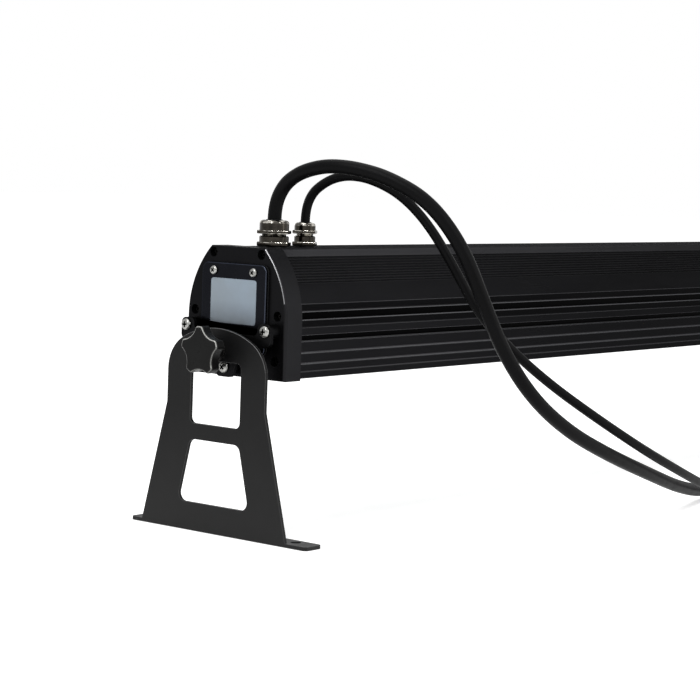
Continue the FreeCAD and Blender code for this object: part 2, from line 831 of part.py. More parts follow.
def make_control():
    front = s.cover_thick + s.cover_gasket_thick
    half = s.cover_width / 2
    window_half = s.window_width / 2
    fit_half = window_half + s.window_fit
    body = new_body("cover_body")
    outline = sketch_in(body, "YZ_Plane", -front)
    draw_outline(outline, rectangle(-half, half, cover_low, cover_low + s.cover_height))
    pad(body, outline, s.cover_thick)
    round_edges(body, s.cover_round, lambda edge: runs_along(edge, X_AXIS))
    round_edges(body, s.cover_edge_round, lambda edge: lies_at(edge, -front))
    opening = sketch_in(body, "YZ_Plane", -front)
    opening_low = window_low - s.window_fit
    opening_high = window_low + s.window_height + s.window_fit
    draw_outline(opening, rectangle(-fit_half, fit_half, opening_low, opening_high))
    pocket(body, opening, s.cover_thick)
    round_edges(
        body,
        s.window_round,
        lambda edge: runs_along(edge, X_AXIS) and abs(edge.CenterOfMass.y) < fit_half.value + NEAR,
    )
    holes = sketch_in(body, "YZ_Plane", -front)
    for across, up in COVER_SCREWS:
        draw_circle(holes, across, up, s.cover_screw_size / 2)
    pocket(body, holes, s.cover_thick)
    end_piece("control_cover", body, "left")

    gasket = new_body("cover_gasket_body")
    outline = sketch_in(gasket, "YZ_Plane", -s.cover_gasket_thick)
    draw_outline(outline, rectangle(-half, half, cover_low, cover_low + s.cover_height))
    lip_half = fit_half + s.window_lip
    draw_outline(
        outline,
        rectangle(-lip_half, lip_half, opening_low - s.window_lip, opening_high + s.window_lip),
    )
    pad(gasket, outline, s.cover_gasket_thick)
    round_edges(
        gasket,
        s.cover_round,
        lambda edge: runs_along(edge, X_AXIS) and abs(edge.CenterOfMass.y) > lip_half.value + NEAR,
    )
    holes = sketch_in(gasket, "YZ_Plane", -s.cover_gasket_thick)
    for across, up in COVER_SCREWS:
        draw_circle(holes, across, up, s.cover_screw_size / 2)
    pocket(gasket, holes, s.cover_gasket_thick)
    end_piece("control_cover_gasket", gasket, "left")

    pane = box(s.cover_thick, s.window_width, s.window_height, -front, -window_half, window_low)
    pane = rounded(pane, s.window_round, lambda edge: runs_along(edge, X_AXIS))
    lip = s.window_lip
    lip_plate = box(
        s.window_lip_thick,
        s.window_width + lip * 2,
        s.window_height + lip * 2,
        -s.cover_gasket_thick,
        -window_half - lip,
        window_low - lip,
    )
    end_piece("control_window", joined([pane, lip_plate]), "left")

    screws = [
        pan_screw(
            s.cover_screw_size,
            s.cover_screw_head,
            s.cover_screw_head_high,
            s.cover_screw_long,
            -front,
            across,
            up,
            AGAINST_X,
        )
        for across, up in COVER_SCREWS
    ]
    end_piece("control_cover_screws", grouped(screws), "left")

    board_near = s.cap_wall + s.board_post_high
    middle = window_low + s.window_height / 2 - s.board_post_margin
    board_half = s.board_size / 2
    board = box(s.board_thick, s.board_size, s.board_size, board_near, -board_half, middle - board_half)
    holes = [
        round_bar(s.board_screw_size / 2, s.board_thick, board_near, y, z, ALONG_X)
        for y, z in board_screw_places()
    ]
    end_piece("control_board", less(board, holes), "left")

    display_low = window_low + (s.window_height - s.display_height) / 2
    display = box(
        board_near - s.display_gap,
        s.display_width,
        s.display_height,
        s.display_gap,
        -s.display_width / 2,
        display_low,
    )
    end_piece("control_display", grouped([display]), "left")

    screws = [
        pan_screw(
            s.board_screw_size,
            s.board_screw_head,
            s.board_screw_head_high,
            s.board_screw_long,
            board_near + s.board_thick,
            y,
            z,
            ALONG_X,
        )
        for y, z in board_screw_places()
    ]
    end_piece("control_board_screws", grouped(screws), "left")


def make_glass():
    glass_long = housing_long - s.glass_end_margin * 2
    glass_low = housing_low + s.rail_thick
    glass = box(glass_long, s.glass_width, s.glass_thick, -glass_long / 2, -s.glass_width / 2, glass_low)
    lamp_piece("front_glass", grouped([glass]))

    gasket_low = glass_low + s.glass_thick
    gasket_thick = s.glass_gasket_thick
    gasket = box(glass_long, s.glass_width, gasket_thick, -glass_long / 2, -s.glass_width / 2, gasket_low)
    light_long = glass_long - s.glass_end_margin * 2
    light_half = s.opening_width / 2
    light = box(light_long, s.opening_width, gasket_thick, -light_long / 2, -light_half, gasket_low)
    lamp_piece("glass_gasket", less(gasket, [light]))

    reach = s.rail_half_reach - s.rail_fit
    for label, side in (("near", -1), ("far", 1)):
        rail = box(
            housing_long,
            s.rail_wide,
            s.rail_thick,
            -housing_long / 2,
            reach - s.rail_wide if side > 0 else -reach,
            housing_low,
        )
        tools = []
        sink_radius = s.rail_screw_head / 2 + s.rail_fit
        for x, y in rail_screw_places():
            if y.value * side > 0:
                tools.append(round_bar(s.rail_screw_size / 2, s.rail_thick, x, y, housing_low))
                tools.append(round_bar(sink_radius, s.rail_screw_head_high, x, y, housing_low))
        lamp_piece(f"glass_rail_{label}", less(rail, tools))

    seat = housing_low + s.rail_screw_head_high
    screws = [
        joined(
            [
                round_bar(s.rail_screw_head / 2, s.rail_screw_head_high, x, y, housing_low),
                round_bar(s.rail_screw_size / 2, s.rail_screw_long, x, y, seat),
            ]
        )
        for x, y in rail_screw_places()
    ]
    lamp_piece("glass_rail_screws", grouped(screws))


def make_light_engine():
    board_low = web_low - s.board_thick
    board_half = s.led_board_width / 2
    board = box(
        led_board_long,
        s.led_board_width,
        s.board_thick,
        -led_board_long / 2,
        -board_half,
        board_low,
    )
    holes = [
        round_bar(s.board_screw_size / 2, s.board_thick, x, y, board_low) for x, y in led_screw_places()
    ]
    lamp_piece("led_board", less(board, holes))

    half = s.led_size / 2
    led_places = spread_along(led_board_long, s.led_board_margin, s.led_pitch)
    emitters = [
        box(s.led_size, s.led_size, s.led_high, x - half, -half, board_low - s.led_high)
        for x in led_places
    ]
    lamp_piece("led_emitters", grouped(emitters))

    lens_low = board_low - s.led_high - s.lens_gap - s.lens_high
    lenses = []
    for x in led_places:
        lens = doc.addObject("Part::Cone", "lens")
        bind(lens, Radius1=s.lens_low_radius, Radius2=s.lens_top_radius, Height=s.lens_high)
        lenses.append(put(lens, x, NONE, lens_low))
    lamp_piece("led_lenses", grouped(lenses))

    head_low = board_low - s.board_screw_head_high
    screws = [
        joined(
            [
                round_bar(s.board_screw_head / 2, s.board_screw_head_high, x, y, head_low),
                round_bar(s.board_screw_size / 2, s.board_screw_long, x, y, board_low),
            ]
        )
        for x, y in led_screw_places()
    ]
    lamp_piece("led_board_screws", grouped(screws))


def make_driver():
    start = s.driver_from_face - half_length - s.driver_long / 2
    can = box(s.driver_long, s.driver_width, s.driver_high, start, -s.driver_width / 2, web_top)
    foot = box(
        s.driver_long + s.driver_foot_long * 2,
        s.driver_width,
        s.driver_foot_thick,
        start - s.driver_foot_long,
        -s.driver_width / 2,
        web_top,
    )
    holes = [
        round_bar(s.board_screw_size / 2, s.driver_foot_thick, x, y, web_top)
        for x, y in driver_screw_places()
    ]
    lamp_piece("driver", less(joined([can, foot]), holes))
    seat = web_top + s.driver_foot_thick
    screws = [
        joined(
            [
                round_bar(s.board_screw_head / 2, s.board_screw_head_high, x, y, seat),
                round_bar(s.board_screw_size / 2, s.board_screw_long, x, y, seat - s.board_screw_long),
            ]
        )
        for x, y in driver_screw_places()
    ]
    lamp_piece("driver_screws", grouped(screws))

    terminal_middle = s.terminal_from_face - half_length
    block = box(
        s.terminal_long,
        s.terminal_width,
        s.terminal_high,
        terminal_middle - s.terminal_long / 2,
        -s.terminal_width / 2,
        web_top,
    )
    pitch = s.terminal_long / TERMINAL_WAY_COUNT
    ways = [
        round_bar(
            s.terminal_hole_radius,
            s.terminal_hole_deep,
            terminal_middle + x,
            NONE,
            web_top + s.terminal_high - s.terminal_hole_deep,
        )
        for x in spread(TERMINAL_WAY_COUNT, pitch)
    ]
    lamp_piece("terminal_block", less(block, ways))


def make_gland(name, from_face, flats, body_width, thread, cable_width, dome_high):
    x = from_face - half_length
    washer_low = housing_high
    flange_low = washer_low + s.gland_washer_thick
    body_low = flange_low + s.gland_flange_high
    body_top = body_low + s.gland_body_high
    nut_low = body_top + s.gland_nut_gap
    nut_top = nut_low + s.gland_nut_high
    bore = thread / 2 + s.gland_fit
    washer = less(
        round_bar(flats / 2 - s.gland_washer_inset, s.gland_washer_thick, x, NONE, washer_low),
        [round_bar(bore, s.gland_washer_thick, x, NONE, washer_low)],
    )
    lamp_piece(f"{name}_gland_washer", washer)

    locknut_low = housing_high - s.top_wall - s.locknut_thick
    tube_low = locknut_low - s.locknut_spread
    tube_long = body_top + s.gland_thread_up - tube_low
    inner = cable_width / 2 + s.gland_fit
    body = less(
        joined(
            [
                hex_bar(flats, s.gland_flange_high, x, NONE, flange_low),
                round_bar(body_width / 2, s.gland_body_high, x, NONE, body_low),
                round_bar(thread / 2, tube_long, x, NONE, tube_low),
            ]
        ),
        [round_bar(inner, tube_long, x, NONE, tube_low)],
    )
    lamp_piece(f"{name}_gland_body", body)

    locknut = less(
        hex_bar(flats + s.locknut_spread, s.locknut_thick, x, NONE, locknut_low),
        [round_bar(thread / 2, s.locknut_thick, x, NONE, locknut_low)],
    )
    lamp_piece(f"{name}_gland_locknut", locknut)

    # the nut: a turned cap with a rounded rim, over a hexagon
    dome = new_body(f"{name}_dome_body")
    profile = sketch_in(dome, "XZ_Plane")
    dome_radius = body_width / 2
    mouth = cable_width / 2 + s.gland_mouth_wall
    dome_top = nut_top + dome_high
    shoulder = dome_top - s.gland_dome_round
    rim = dome_radius - s.gland_dome_round
    draw_outline(
        profile,
        [
            (NONE, nut_top),
            (dome_radius, nut_top),
            (dome_radius, shoulder, (rim, shoulder)),
            (rim, dome_top),
            (NONE, dome_top),
        ],
    )
    turned = dome.newObject("PartDesign::Revolution", f"{name}_dome_turned")
    turned.Profile = profile
    turned.ReferenceAxis = (profile, ["V_Axis"])
    turned.Angle = 360
    doc.recompute()
    put(dome, x, NONE, NONE)
    nut = less(
        joined([hex_bar(flats, s.gland_nut_high, x, NONE, nut_low), dome]),
        [
            round_bar(bore, body_top + s.gland_thread_up + s.gland_fit - nut_low, x, NONE, nut_low),
            round_bar(mouth - s.gland_mouth_wall / 2, dome_top - nut_low, x, NONE, nut_low),
        ],
    )
    lamp_piece(f"{name}_gland_nut", nut)

    seal_low = body_top + s.gland_thread_up
    seal_long = dome_top + s.gland_seal_proud - seal_low
    seal = round_bar(mouth - s.gland_mouth_wall / 2, seal_long, x, NONE, seal_low)
    lamp_piece(f"{name}_gland_seal", grouped([seal]))


def make_hub(end):
    ear_half = s.hub_ear_apart / 2
    ear_up = s.pivot_height + s.hub_ear_rise
    low = s.pivot_height - s.hub_low_drop - s.hub_low_margin
    shoulder = s.pivot_height + s.hub_shoulder_rise
    bridge = s.pivot_height + s.hub_bridge_rise
    outer = ear_half + s.hub_ear_margin
    inner = ear_half - s.hub_margin
    top = ear_up + s.hub_ear_margin
    body = new_body(f"{end}_hub_body")
    outline = sketch_in(body, "YZ_Plane", -plate_front)
    draw_outline(
        outline,
        [
            (-s.hub_margin, low),
            (s.hub_margin, low),
            (s.hub_waist_half, shoulder - s.hub_margin),
            (outer, shoulder),
            (outer, top),
            (inner, top),
            (inner, bridge),
            (-inner, bridge),
            (-inner, top),
            (-outer, top),
            (-outer, shoulder),
            (-s.hub_waist_half, shoulder - s.hub_margin),
        ],
    )
    pad(body, outline, s.hub_plate_thick)
    round_edges(body, s.hub_corner_round, lambda edge: runs_along(edge, X_AXIS))
    standoffs = sketch_in(body, "YZ_Plane", -plate_back)
    for across, up in HUB_SCREWS:
        draw_circle(standoffs, across, up, s.hub_standoff_radius)
    pad(body, standoffs, s.hub_standoff)
    boss = sketch_in(body, "YZ_Plane", -boss_front)
    draw_circle(boss, NONE, s.pivot_height, s.hub_boss_radius)
    pad(body, boss, s.hub_boss_high)
    holes = sketch_in(body, "YZ_Plane", -plate_front)
    for across, up in HUB_SCREWS:
        draw_circle(holes, across, up, s.hub_screw_size / 2 + s.hub_screw_fit)
    pocket(body, holes, plate_front)
    bore = sketch_in(body, "YZ_Plane", -boss_front)
    draw_circle(bore, NONE, s.pivot_height, s.pivot_size / 2)
    pocket(body, bore, boss_front)
    end_piece(f"hub_plate_{end}", body, end)

    screws = [
        pan_screw(
            s.hub_screw_size,
            s.hub_screw_head,
            s.hub_screw_head_high,
            s.hub_screw_long,
            -plate_front,
            across,
            up,
            AGAINST_X,
        )
        for across, up in HUB_SCREWS
    ]
    end_piece(f"hub_screws_{end}", grouped(screws), end)

    stud_long = knob_back - plate_back + s.knob_stud_reach
    stud = joined(
        [
            round_bar(s.pivot_size / 2, stud_long, -plate_back - stud_long, NONE, s.pivot_height, ALONG_X),
            hex_bar(s.pivot_head_flats, s.pivot_head_thick, -plate_back, NONE, s.pivot_height, ALONG_X),
        ]
    )
    end_piece(f"pivot_stud_{end}", stud, end)

    thick = s.friction_washer_thick
    washer = pivot_washer(s.friction_washer_radius, thick, -boss_front - thick)
    end_piece(f"friction_washer_{end}", washer, end)


def pivot_washer(radius, thick, start):
    # A washer on the pivot stud.
    hole = s.pivot_size / 2 + s.running_gap
    return less(
        round_bar(radius, thick, start, NONE, s.pivot_height, ALONG_X),
        [round_bar(hole, thick, start, NONE, s.pivot_height, ALONG_X)],
    )


def make_bracket(end):
    # The foot's longer end points to -Y on both brackets, so the right one is turned and swaps its ends.
    base_half = s.bracket_base_width / 2
    plus_reach = base_half + (s.foot_rear_overhang if end == "left" else s.foot_near_overhang)
    minus_reach = base_half + (s.foot_near_overhang if end == "left" else s.foot_rear_overhang)
    top_half = s.bracket_top_width / 2
    crown_top = s.pivot_height + s.bracket_crown_rise
    side_top = s.pivot_height - s.bracket_side_drop
    flare_top = s.pivot_height - s.bracket_flare_drop
    corner = s.bracket_corner_radius
    corner_out = top_half - corner
    spare = crown_top - corner - side_top
    crown_up = (crown_top - corner + side_top - corner_out * corner_out / spare) / 2
    crown_radius = crown_top - crown_up
    stretch = crown_radius / (crown_radius - corner)
    meet = corner_out * stretch
    meet_up = crown_up + (side_top - crown_up) * stretch
    body = new_body(f"{end}_bracket_body")
    outline = sketch_in(body, "YZ_Plane", -sheet_front)
    draw_outline(
        outline,
        [
            (-base_half, NONE),
            (base_half, NONE),
            (top_half, flare_top),
            (top_half, side_top, (corner_out, side_top)),
            (meet, meet_up, (NONE, crown_up)),
            (-meet, meet_up, (-corner_out, side_top)),
            (-top_half, side_top),
            (-top_half, flare_top),
        ],
    )
    pad(body, outline, s.sheet_thick)
    window_half = s.upper_window_width / 2
    upper_high = s.pivot_height - s.upper_window_drop
    upper_low = upper_high - s.upper_window_tall
    lower_high = upper_low - s.window_bridge
    lower_low = s.lower_window_rise
    upper = sketch_in(body, "YZ_Plane", -sheet_front)
    draw_outline(upper, rectangle(-window_half, window_half, upper_low, upper_high))
    pocket(body, upper, s.sheet_thick)
    lower = sketch_in(body, "YZ_Plane", -sheet_front)
    lower_top = s.lower_window_top_width / 2
    lower_base = s.lower_window_base_width / 2
    draw_outline(
        lower,
        [
            (-lower_base, lower_low),
            (lower_base, lower_low),
            (lower_top, lower_high),
            (-lower_top, lower_high),
        ],
    )
    pocket(body, lower, s.sheet_thick)
    for low, high, radius in (
        (upper_low, upper_high, s.upper_window_round),
        (lower_low, lower_high, s.lower_window_round),
    ):
        round_edges(
            body,
            radius,
            lambda edge: runs_along(edge, X_AXIS)
            and low.value - NEAR < edge.CenterOfMass.z < high.value + NEAR
            and abs(edge.CenterOfMass.y) < top_half.value - NEAR,
        )
    hole = sketch_in(body, "YZ_Plane", -sheet_front)
    draw_circle(hole, NONE, s.pivot_height, s.pivot_size / 2 + s.pivot_fit)
    pocket(body, hole, s.sheet_thick)
    foot = sketch_in(body, "XY_Plane")
    foot_back = s.foot_depth - sheet_front
    draw_outline(foot, rectangle(-sheet_front, foot_back, -minus_reach, plus_reach))
    pad(body, foot, s.sheet_thick)
    round_edges(
        body,
        s.foot_round,
        lambda edge: runs_along(edge, Z_AXIS) and abs(edge.CenterOfMass.y) > base_half.value,
    )
    holes = sketch_in(body, "XY_Plane")
    hole_x = (foot_back - sheet_back) / 2
    for side in SIDES:
        draw_circle(holes, hole_x, side * (base_half + s.foot_hole_offset), s.foot_hole / 2)
    pocket(body, holes, s.sheet_thick)
    end_piece(f"bracket_{end}", body, end)


def make_knob(end):
    # A star grip: a disc with scoops between its lobes, on a round neck.
    head = s.knob_thick - s.knob_neck_high
    back = -knob_back
    body = new_body(f"{end}_knob_body")
    disc = sketch_in(body, "YZ_Plane", back - s.knob_thick)
    draw_circle(disc, NONE, NONE, s.knob_reach)
    pad(body, disc, head)
    scoop_out = s.knob_valley_reach + s.knob_scoop_radius
    scoops = sketch_in(body, "YZ_Plane", back - s.knob_thick)
    for turn in KNOB_SCOOP_TURNS:
        draw_circle(scoops, scoop_out * math.cos(turn), scoop_out * math.sin(turn), s.knob_scoop_radius)
    pocket(body, scoops, head)
    round_edges(body, s.knob_lobe_round, lambda edge: runs_along(edge, X_AXIS))
    neck = sketch_in(body, "YZ_Plane", back - s.knob_neck_high)
    draw_circle(neck, NONE, NONE, s.knob_neck_radius)
    pad(body, neck, s.knob_neck_high)
    front = back - s.knob_thick
    rear = back - s.knob_neck_high
    round_edges(
        body,
        s.knob_edge_round,
        lambda edge: lies_at(edge, front)
        or (lies_at(edge, rear) and math.hypot(edge.CenterOfMass.y, edge.CenterOfMass.z) > NEAR),
    )
    bore = sketch_in(body, "YZ_Plane", back - s.knob_insert_long)
    draw_circle(bore, NONE, NONE, s.knob_insert_radius)
    pocket(body, bore, s.knob_insert_long)
    put(body, NONE, NONE, s.pivot_height)
    end_piece(f"knob_{end}", grouped([body]), end)

    insert_long = s.knob_insert_long
    insert_start = back - insert_long
    thread = s.pivot_size / 2 + s.pivot_fit
    insert = less(
        round_bar(s.knob_insert_radius, insert_long, insert_start, NONE, s.pivot_height, ALONG_X),
        [round_bar(thread, insert_long, insert_start, NONE, s.pivot_height, ALONG_X)],
    )
    end_piece(f"knob_insert_{end}", insert, end)
    end_piece(f"knob_washer_{end}", pivot_washer(s.knob_washer_radius, s.knob_washer_thick, back), end)


# Routes of the cables, in millimetres from the middle of the lamp on the ground
POWER_ROUTE = [
    (-457, 0, 248.6),
    (-457, 0, 264.1),
    (-457.5, -6, 278.3),
    (-458, -17, 289.2),
    (-457.5, -31.5, 294.8),
    (-455.5, -48.5, 296),
    (-449.5, -73, 294),
    (-439, -101, 286),
    (-426, -130, 268),
    (-412, -153, 234),
    (-401, -168, 192),
    (-386, -179, 153),
    (-358, -189, 116),
    (-312, -195, 86),
    (-252, -198, 62),
    (-182, -194, 40),
    (-108, -180, 20),
    (-34, -163, 7),
    (40, -152, 6),
    (110, -147, 6),
    (170, -144, 8),
    (210, -142, 13),
    (240, -142, 13),
]
SIGNAL_ROUTE = [
    (-419, 0, 246.6),
    (-419, 0, 259.6),
    (-419, -5.2, 271.4),
    (-418.5, -14.6, 280.6),
    (-417.5, -27.5, 286),
    (-415, -42, 287.5),
    (-409, -60, 283.5),
    (-399, -80, 271.5),
    (-387, -98, 250),
    (-373, -114, 218),
    (-358, -129, 182),
    (-336, -148, 153),
    (-306, -171, 124),
    (-266, -193, 96),
    (-214, -206, 68),
    (-158, -208, 45),
    (-98, -198, 25),
    (-38, -184, 9),
    (22, -174, 4),
    (78, -170, 4.5),
    (114, -170.5, 6.5),
    (140, -171, 9),
    (162, -171, 9),
]


def cable_path(points):
    # Straight runs joined by tangent arcs, each arc as large as its two runs allow.
    corners = [FreeCAD.Vector(*point) for point in points]
    edges = []
    radii = []
    start = corners[0]
    for before, here, after in zip(corners, corners[1:], corners[2:]):
        arriving = here - before
        leaving = after - here
        turn = arriving.getAngle(leaving)
        trim = ARC_SHARE * min(arriving.Length, leaving.Length)
        radii.append(trim / math.tan(turn / 2))
        arriving.normalize()
        leaving.normalize()
        enter = here - arriving * trim
        leave = here + leaving * trim
        middle_way = (leaving - arriving).normalize()
        centre = here + middle_way * (radii[-1] / math.cos(turn / 2))
        middle = centre - middle_way * radii[-1]
        edges.append(Part.LineSegment(start, enter).toShape())
        edges.append(Part.Arc(enter, middle, leave).toShape())
        start = leave
    edges.append(Part.LineSegment(start, corners[-1]).toShape())
    return Part.Wire(edges), radii


def make_cable(name, points, width):
    path, radii = cable_path(points)
    first = FreeCAD.Vector(*points[0])
    heading = FreeCAD.Vector(*points[1]) - first
    ring = Part.Wire(Part.Circle(first, heading, width.value / 2).toShape())
    tube = path.makePipeShell([ring], True, False)
    expected = math.pi * width.value**2 / 4 * path.Length
    print(name, "radii", [round(radius, 1) for radius in radii])
    print(name, "length", round(path.Length, 1), "volume share", round(tube.Volume / expected, 4))
    cable = doc.addObject("Part::Feature", name)
    cable.Shape = tube
    lamp_piece(name, cable)


def make_plug(name, end_point, radius, long, collar_radius, collar_long, ring_radius, pins):
    x, y, z = (sized(place) for place in end_point)
    shell_start = x + collar_long
    mouth = x + collar_long + long - s.plug_mouth_deep
    shell = less(
        joined(
            [
                round_bar(collar_radius, collar_long, x, y, z, ALONG_X),
                round_bar(radius, long, shell_start, y, z, ALONG_X),
            ]
        ),
        [round_bar(radius - s.plug_wall, s.plug_mouth_deep, mouth, y, z, ALONG_X)],
    )
    lamp_piece(f"{name}_plug", shell)
    rods = []
    for number in range(pins):
        angle = 2 * math.pi * number / pins
        rods.append(
            round_bar(
                s.pin_radius,
                s.pin_long,
                mouth,
                y + ring_radius * math.cos(angle),
                z + ring_radius * math.sin(angle),
                ALONG_X,
            )
        )
    lamp_piece(f"{name}_plug_pins", grouped(rods))


make_housing()
for end in ("left", "right"):
    make_end_cap(end)
    make_end_gasket(end)
    make_cap_screws(end)
make_control()
make_glass()
make_light_engine()
make_driver()
make_gland(
    "power",
    s.power_gland_from_face,
    s.power_gland_flats,
    s.power_gland_round,
    s.power_thread,
    s.power_cable_width,
    s.power_dome_high,
)
make_gland(
    "signal",
    s.signal_gland_from_face,
    s.signal_gland_flats,
    s.signal_gland_round,
    s.signal_thread,
    s.signal_cable_width,
    s.signal_dome_high,
)
for end in ("left", "right"):
    make_hub(end)
    make_bracket(end)
    make_knob(end)
make_cable("power_cable", POWER_ROUTE, s.power_cable_width)
make_cable("signal_cable", SIGNAL_ROUTE, s.signal_cable_width)
make_plug(
    "power",
    POWER_ROUTE[-1],
    s.power_plug_radius,
    s.power_plug_long,
    s.power_collar_radius,
    s.power_collar_long,
    s.power_plug_radius / 2,
    POWER_PIN_COUNT,
)
make_plug(
    "signal",
    SIGNAL_ROUTE[-1],
    s.signal_plug_radius,
    s.signal_plug_long,
    s.signal_collar_radius,
    s.signal_collar_long,
    s.signal_plug_radius / 2,
    SIGNAL_PIN_COUNT,
)

doc.recompute()
broken = [thing.Label for thing in doc.Objects if "Invalid" in thing.State or "Error" in thing.State]
if broken:
    raise ValueError(f"these objects failed: {broken}")
for thing in pieces:
    if thing.Shape.isNull() or not thing.Shape.isValid():
        raise ValueError(f"{thing.Label} has no valid shape")
for thing in pieces:
    thing.Shape.exportStep(f"parts/{thing.Label}.step")
    print(thing.Label, len(thing.Shape.Solids), round(thing.Shape.Volume))
print(len(pieces), "nodes")
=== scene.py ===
import json
from math import cos, pi, radians, sin

import bmesh
import bpy
from mathutils import Matrix, Vector


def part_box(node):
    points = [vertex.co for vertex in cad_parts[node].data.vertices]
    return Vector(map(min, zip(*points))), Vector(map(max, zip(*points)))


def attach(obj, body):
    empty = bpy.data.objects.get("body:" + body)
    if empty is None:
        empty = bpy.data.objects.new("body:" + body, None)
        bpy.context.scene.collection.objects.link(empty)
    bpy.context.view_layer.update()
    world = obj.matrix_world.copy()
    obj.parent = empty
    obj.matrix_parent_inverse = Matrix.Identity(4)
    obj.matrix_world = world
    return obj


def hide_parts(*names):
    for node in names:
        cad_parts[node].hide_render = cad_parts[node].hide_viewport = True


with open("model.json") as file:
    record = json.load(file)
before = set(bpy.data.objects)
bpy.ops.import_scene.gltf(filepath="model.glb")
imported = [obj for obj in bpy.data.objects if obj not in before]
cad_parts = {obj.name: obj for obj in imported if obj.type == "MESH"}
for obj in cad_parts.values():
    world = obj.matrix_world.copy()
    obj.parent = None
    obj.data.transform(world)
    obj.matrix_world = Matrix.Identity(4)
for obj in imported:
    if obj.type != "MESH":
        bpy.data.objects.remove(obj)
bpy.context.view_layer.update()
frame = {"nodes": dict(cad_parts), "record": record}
nodes = frame["nodes"]
scene = bpy.context.scene
scene.view_settings.view_transform = "Standard"
lampMiddle = 0.00425  # the lamp's middle plane lies this far along Y
nearPoints = 1e-6  # metres, points of a CAD mesh this near are one
polePoints = 1e-7  # metres, points of a turned skin this near are one


# Camera, at the photograph's viewing angle
viewpoint = {
    "place": (-1.7256, -1.1128, 0.2912),  # metres
    "turn": -50.813,  # degrees
    "lookUp": -4.932,
    "roll": 2.008,
    "lens": 107.94,  # millimetres
    "sensor": 36,
    "farthest": 60,  # metres
}
cameraData = bpy.data.cameras.new("camera")
cameraData.lens = viewpoint["lens"]
cameraData.sensor_width = viewpoint["sensor"]
cameraData.clip_end = viewpoint["farthest"]
camera = bpy.data.objects.new("camera", cameraData)
scene.collection.objects.link(camera)
camera.matrix_world = (
    Matrix.Translation(viewpoint["place"])
    @ Matrix.Rotation(radians(viewpoint["turn"]), 4, "Z")
    @ Matrix.Rotation(radians(90 + viewpoint["lookUp"]), 4, "X")
    @ Matrix.Rotation(radians(viewpoint["roll"]), 4, "Z")
)
scene.camera = camera
print("camera set")


# Cables: one smooth line each, from the gland to the plug
cables = {
    "power": {
        "width": 0.0114,
        "length": 0.97,
        "route": (
            (-0.457, 0, 0.2486), (-0.457, 0, 0.26), (-0.4575, -0.0085, 0.2755),
            (-0.458, -0.022, 0.2848), (-0.4575, -0.0375, 0.2902), (-0.4555, -0.0555, 0.2931),
            (-0.4495, -0.0765, 0.2918), (-0.439, -0.1015, 0.2852), (-0.426, -0.132, 0.268),
            (-0.412, -0.155, 0.234), (-0.401, -0.169, 0.192), (-0.386, -0.179, 0.153),
            (-0.358, -0.189, 0.116), (-0.312, -0.195, 0.086), (-0.252, -0.198, 0.062),
            (-0.182, -0.194, 0.04), (-0.108, -0.18, 0.02), (-0.034, -0.163, 0.007),
            (0.04, -0.152, 0.006), (0.11, -0.147, 0.006), (0.17, -0.144, 0.008),
            (0.21, -0.142, 0.013), (0.24, -0.142, 0.013),
        ),
    },
    "signal": {
        "width": 0.0078,
        "length": 0.81,
        "route": (
            (-0.419, 0, 0.2466), (-0.419, 0, 0.257), (-0.419, -0.0065, 0.2705),
            (-0.4185, -0.0185, 0.279), (-0.4175, -0.0305, 0.284), (-0.415, -0.045, 0.286),
            (-0.409, -0.063, 0.2827), (-0.399, -0.0835, 0.2715), (-0.387, -0.1015, 0.25),
            (-0.373, -0.117, 0.218), (-0.358, -0.131, 0.182), (-0.336, -0.148, 0.1525),
            (-0.306, -0.17, 0.1225), (-0.266, -0.192, 0.0935), (-0.214, -0.205, 0.0655),
            (-0.158, -0.207, 0.043), (-0.098, -0.198, 0.024), (-0.038, -0.184, 0.009),
            (0.022, -0.174, 0.004), (0.078, -0.17, 0.0045), (0.114, -0.1705, 0.0065),
            (0.14, -0.171, 0.009), (0.162, -0.171, 0.009),
        ),
    },
}
cableSteps = {"along": 12, "round": 7}  # how finely the line and its round are divided


def layCable(name, cable):
    line = bpy.data.curves.new(f"{name}_cable_run", "CURVE")
    line.dimensions = "3D"
    run = line.splines.new("NURBS")
    run.points.add(len(cable["route"]) - 1)
    for point, (x, y, z) in zip(run.points, cable["route"]):
        point.co = (x, y + lampMiddle, z, 1)
    run.order_u = 3
    run.use_endpoint_u = True
    line.resolution_u = cableSteps["along"]
    line.bevel_depth = cable["width"] / 2
    line.bevel_resolution = cableSteps["round"]
    line.use_fill_caps = True
    thing = bpy.data.objects.new(f"{name}_cable_run", line)
    scene.collection.objects.link(thing)
    return thing


cableRuns = {name: layCable(name, cable) for name, cable in cables.items()}
print("cables laid")


# Finishes
def newFinish(name, colour, metallic, roughness, specular):
    finish = bpy.data.materials.new(name)
    finish.use_nodes = True
    finish.diffuse_color = (*colour, 1)
    shader = finish.node_tree.nodes["Principled BSDF"]
    shader.inputs["Base Color"].default_value = (*colour, 1)
    shader.inputs["Metallic"].default_value = metallic
    shader.inputs["Roughness"].default_value = roughness
    shader.inputs["Specular IOR Level"].default_value = specular
    return finish


def addNoise(finish, scale, detail, stretch, roughness=0.55):
    tree = finish.node_tree
    place = tree.nodes.new("ShaderNodeTexCoord")
    mapping = tree.nodes.new("ShaderNodeMapping")
    mapping.inputs["Scale"].default_value = stretch
    noise = tree.nodes.new("ShaderNodeTexNoise")
    noise.inputs["Scale"].default_value = scale
    noise.inputs["Detail"].default_value = detail
    noise.inputs["Roughness"].default_value = roughness
    tree.links.new(place.outputs["Object"], mapping.inputs["Vector"])
    tree.links.new(mapping.outputs["Vector"], noise.inputs["Vector"])
    return noise.outputs["Fac"]


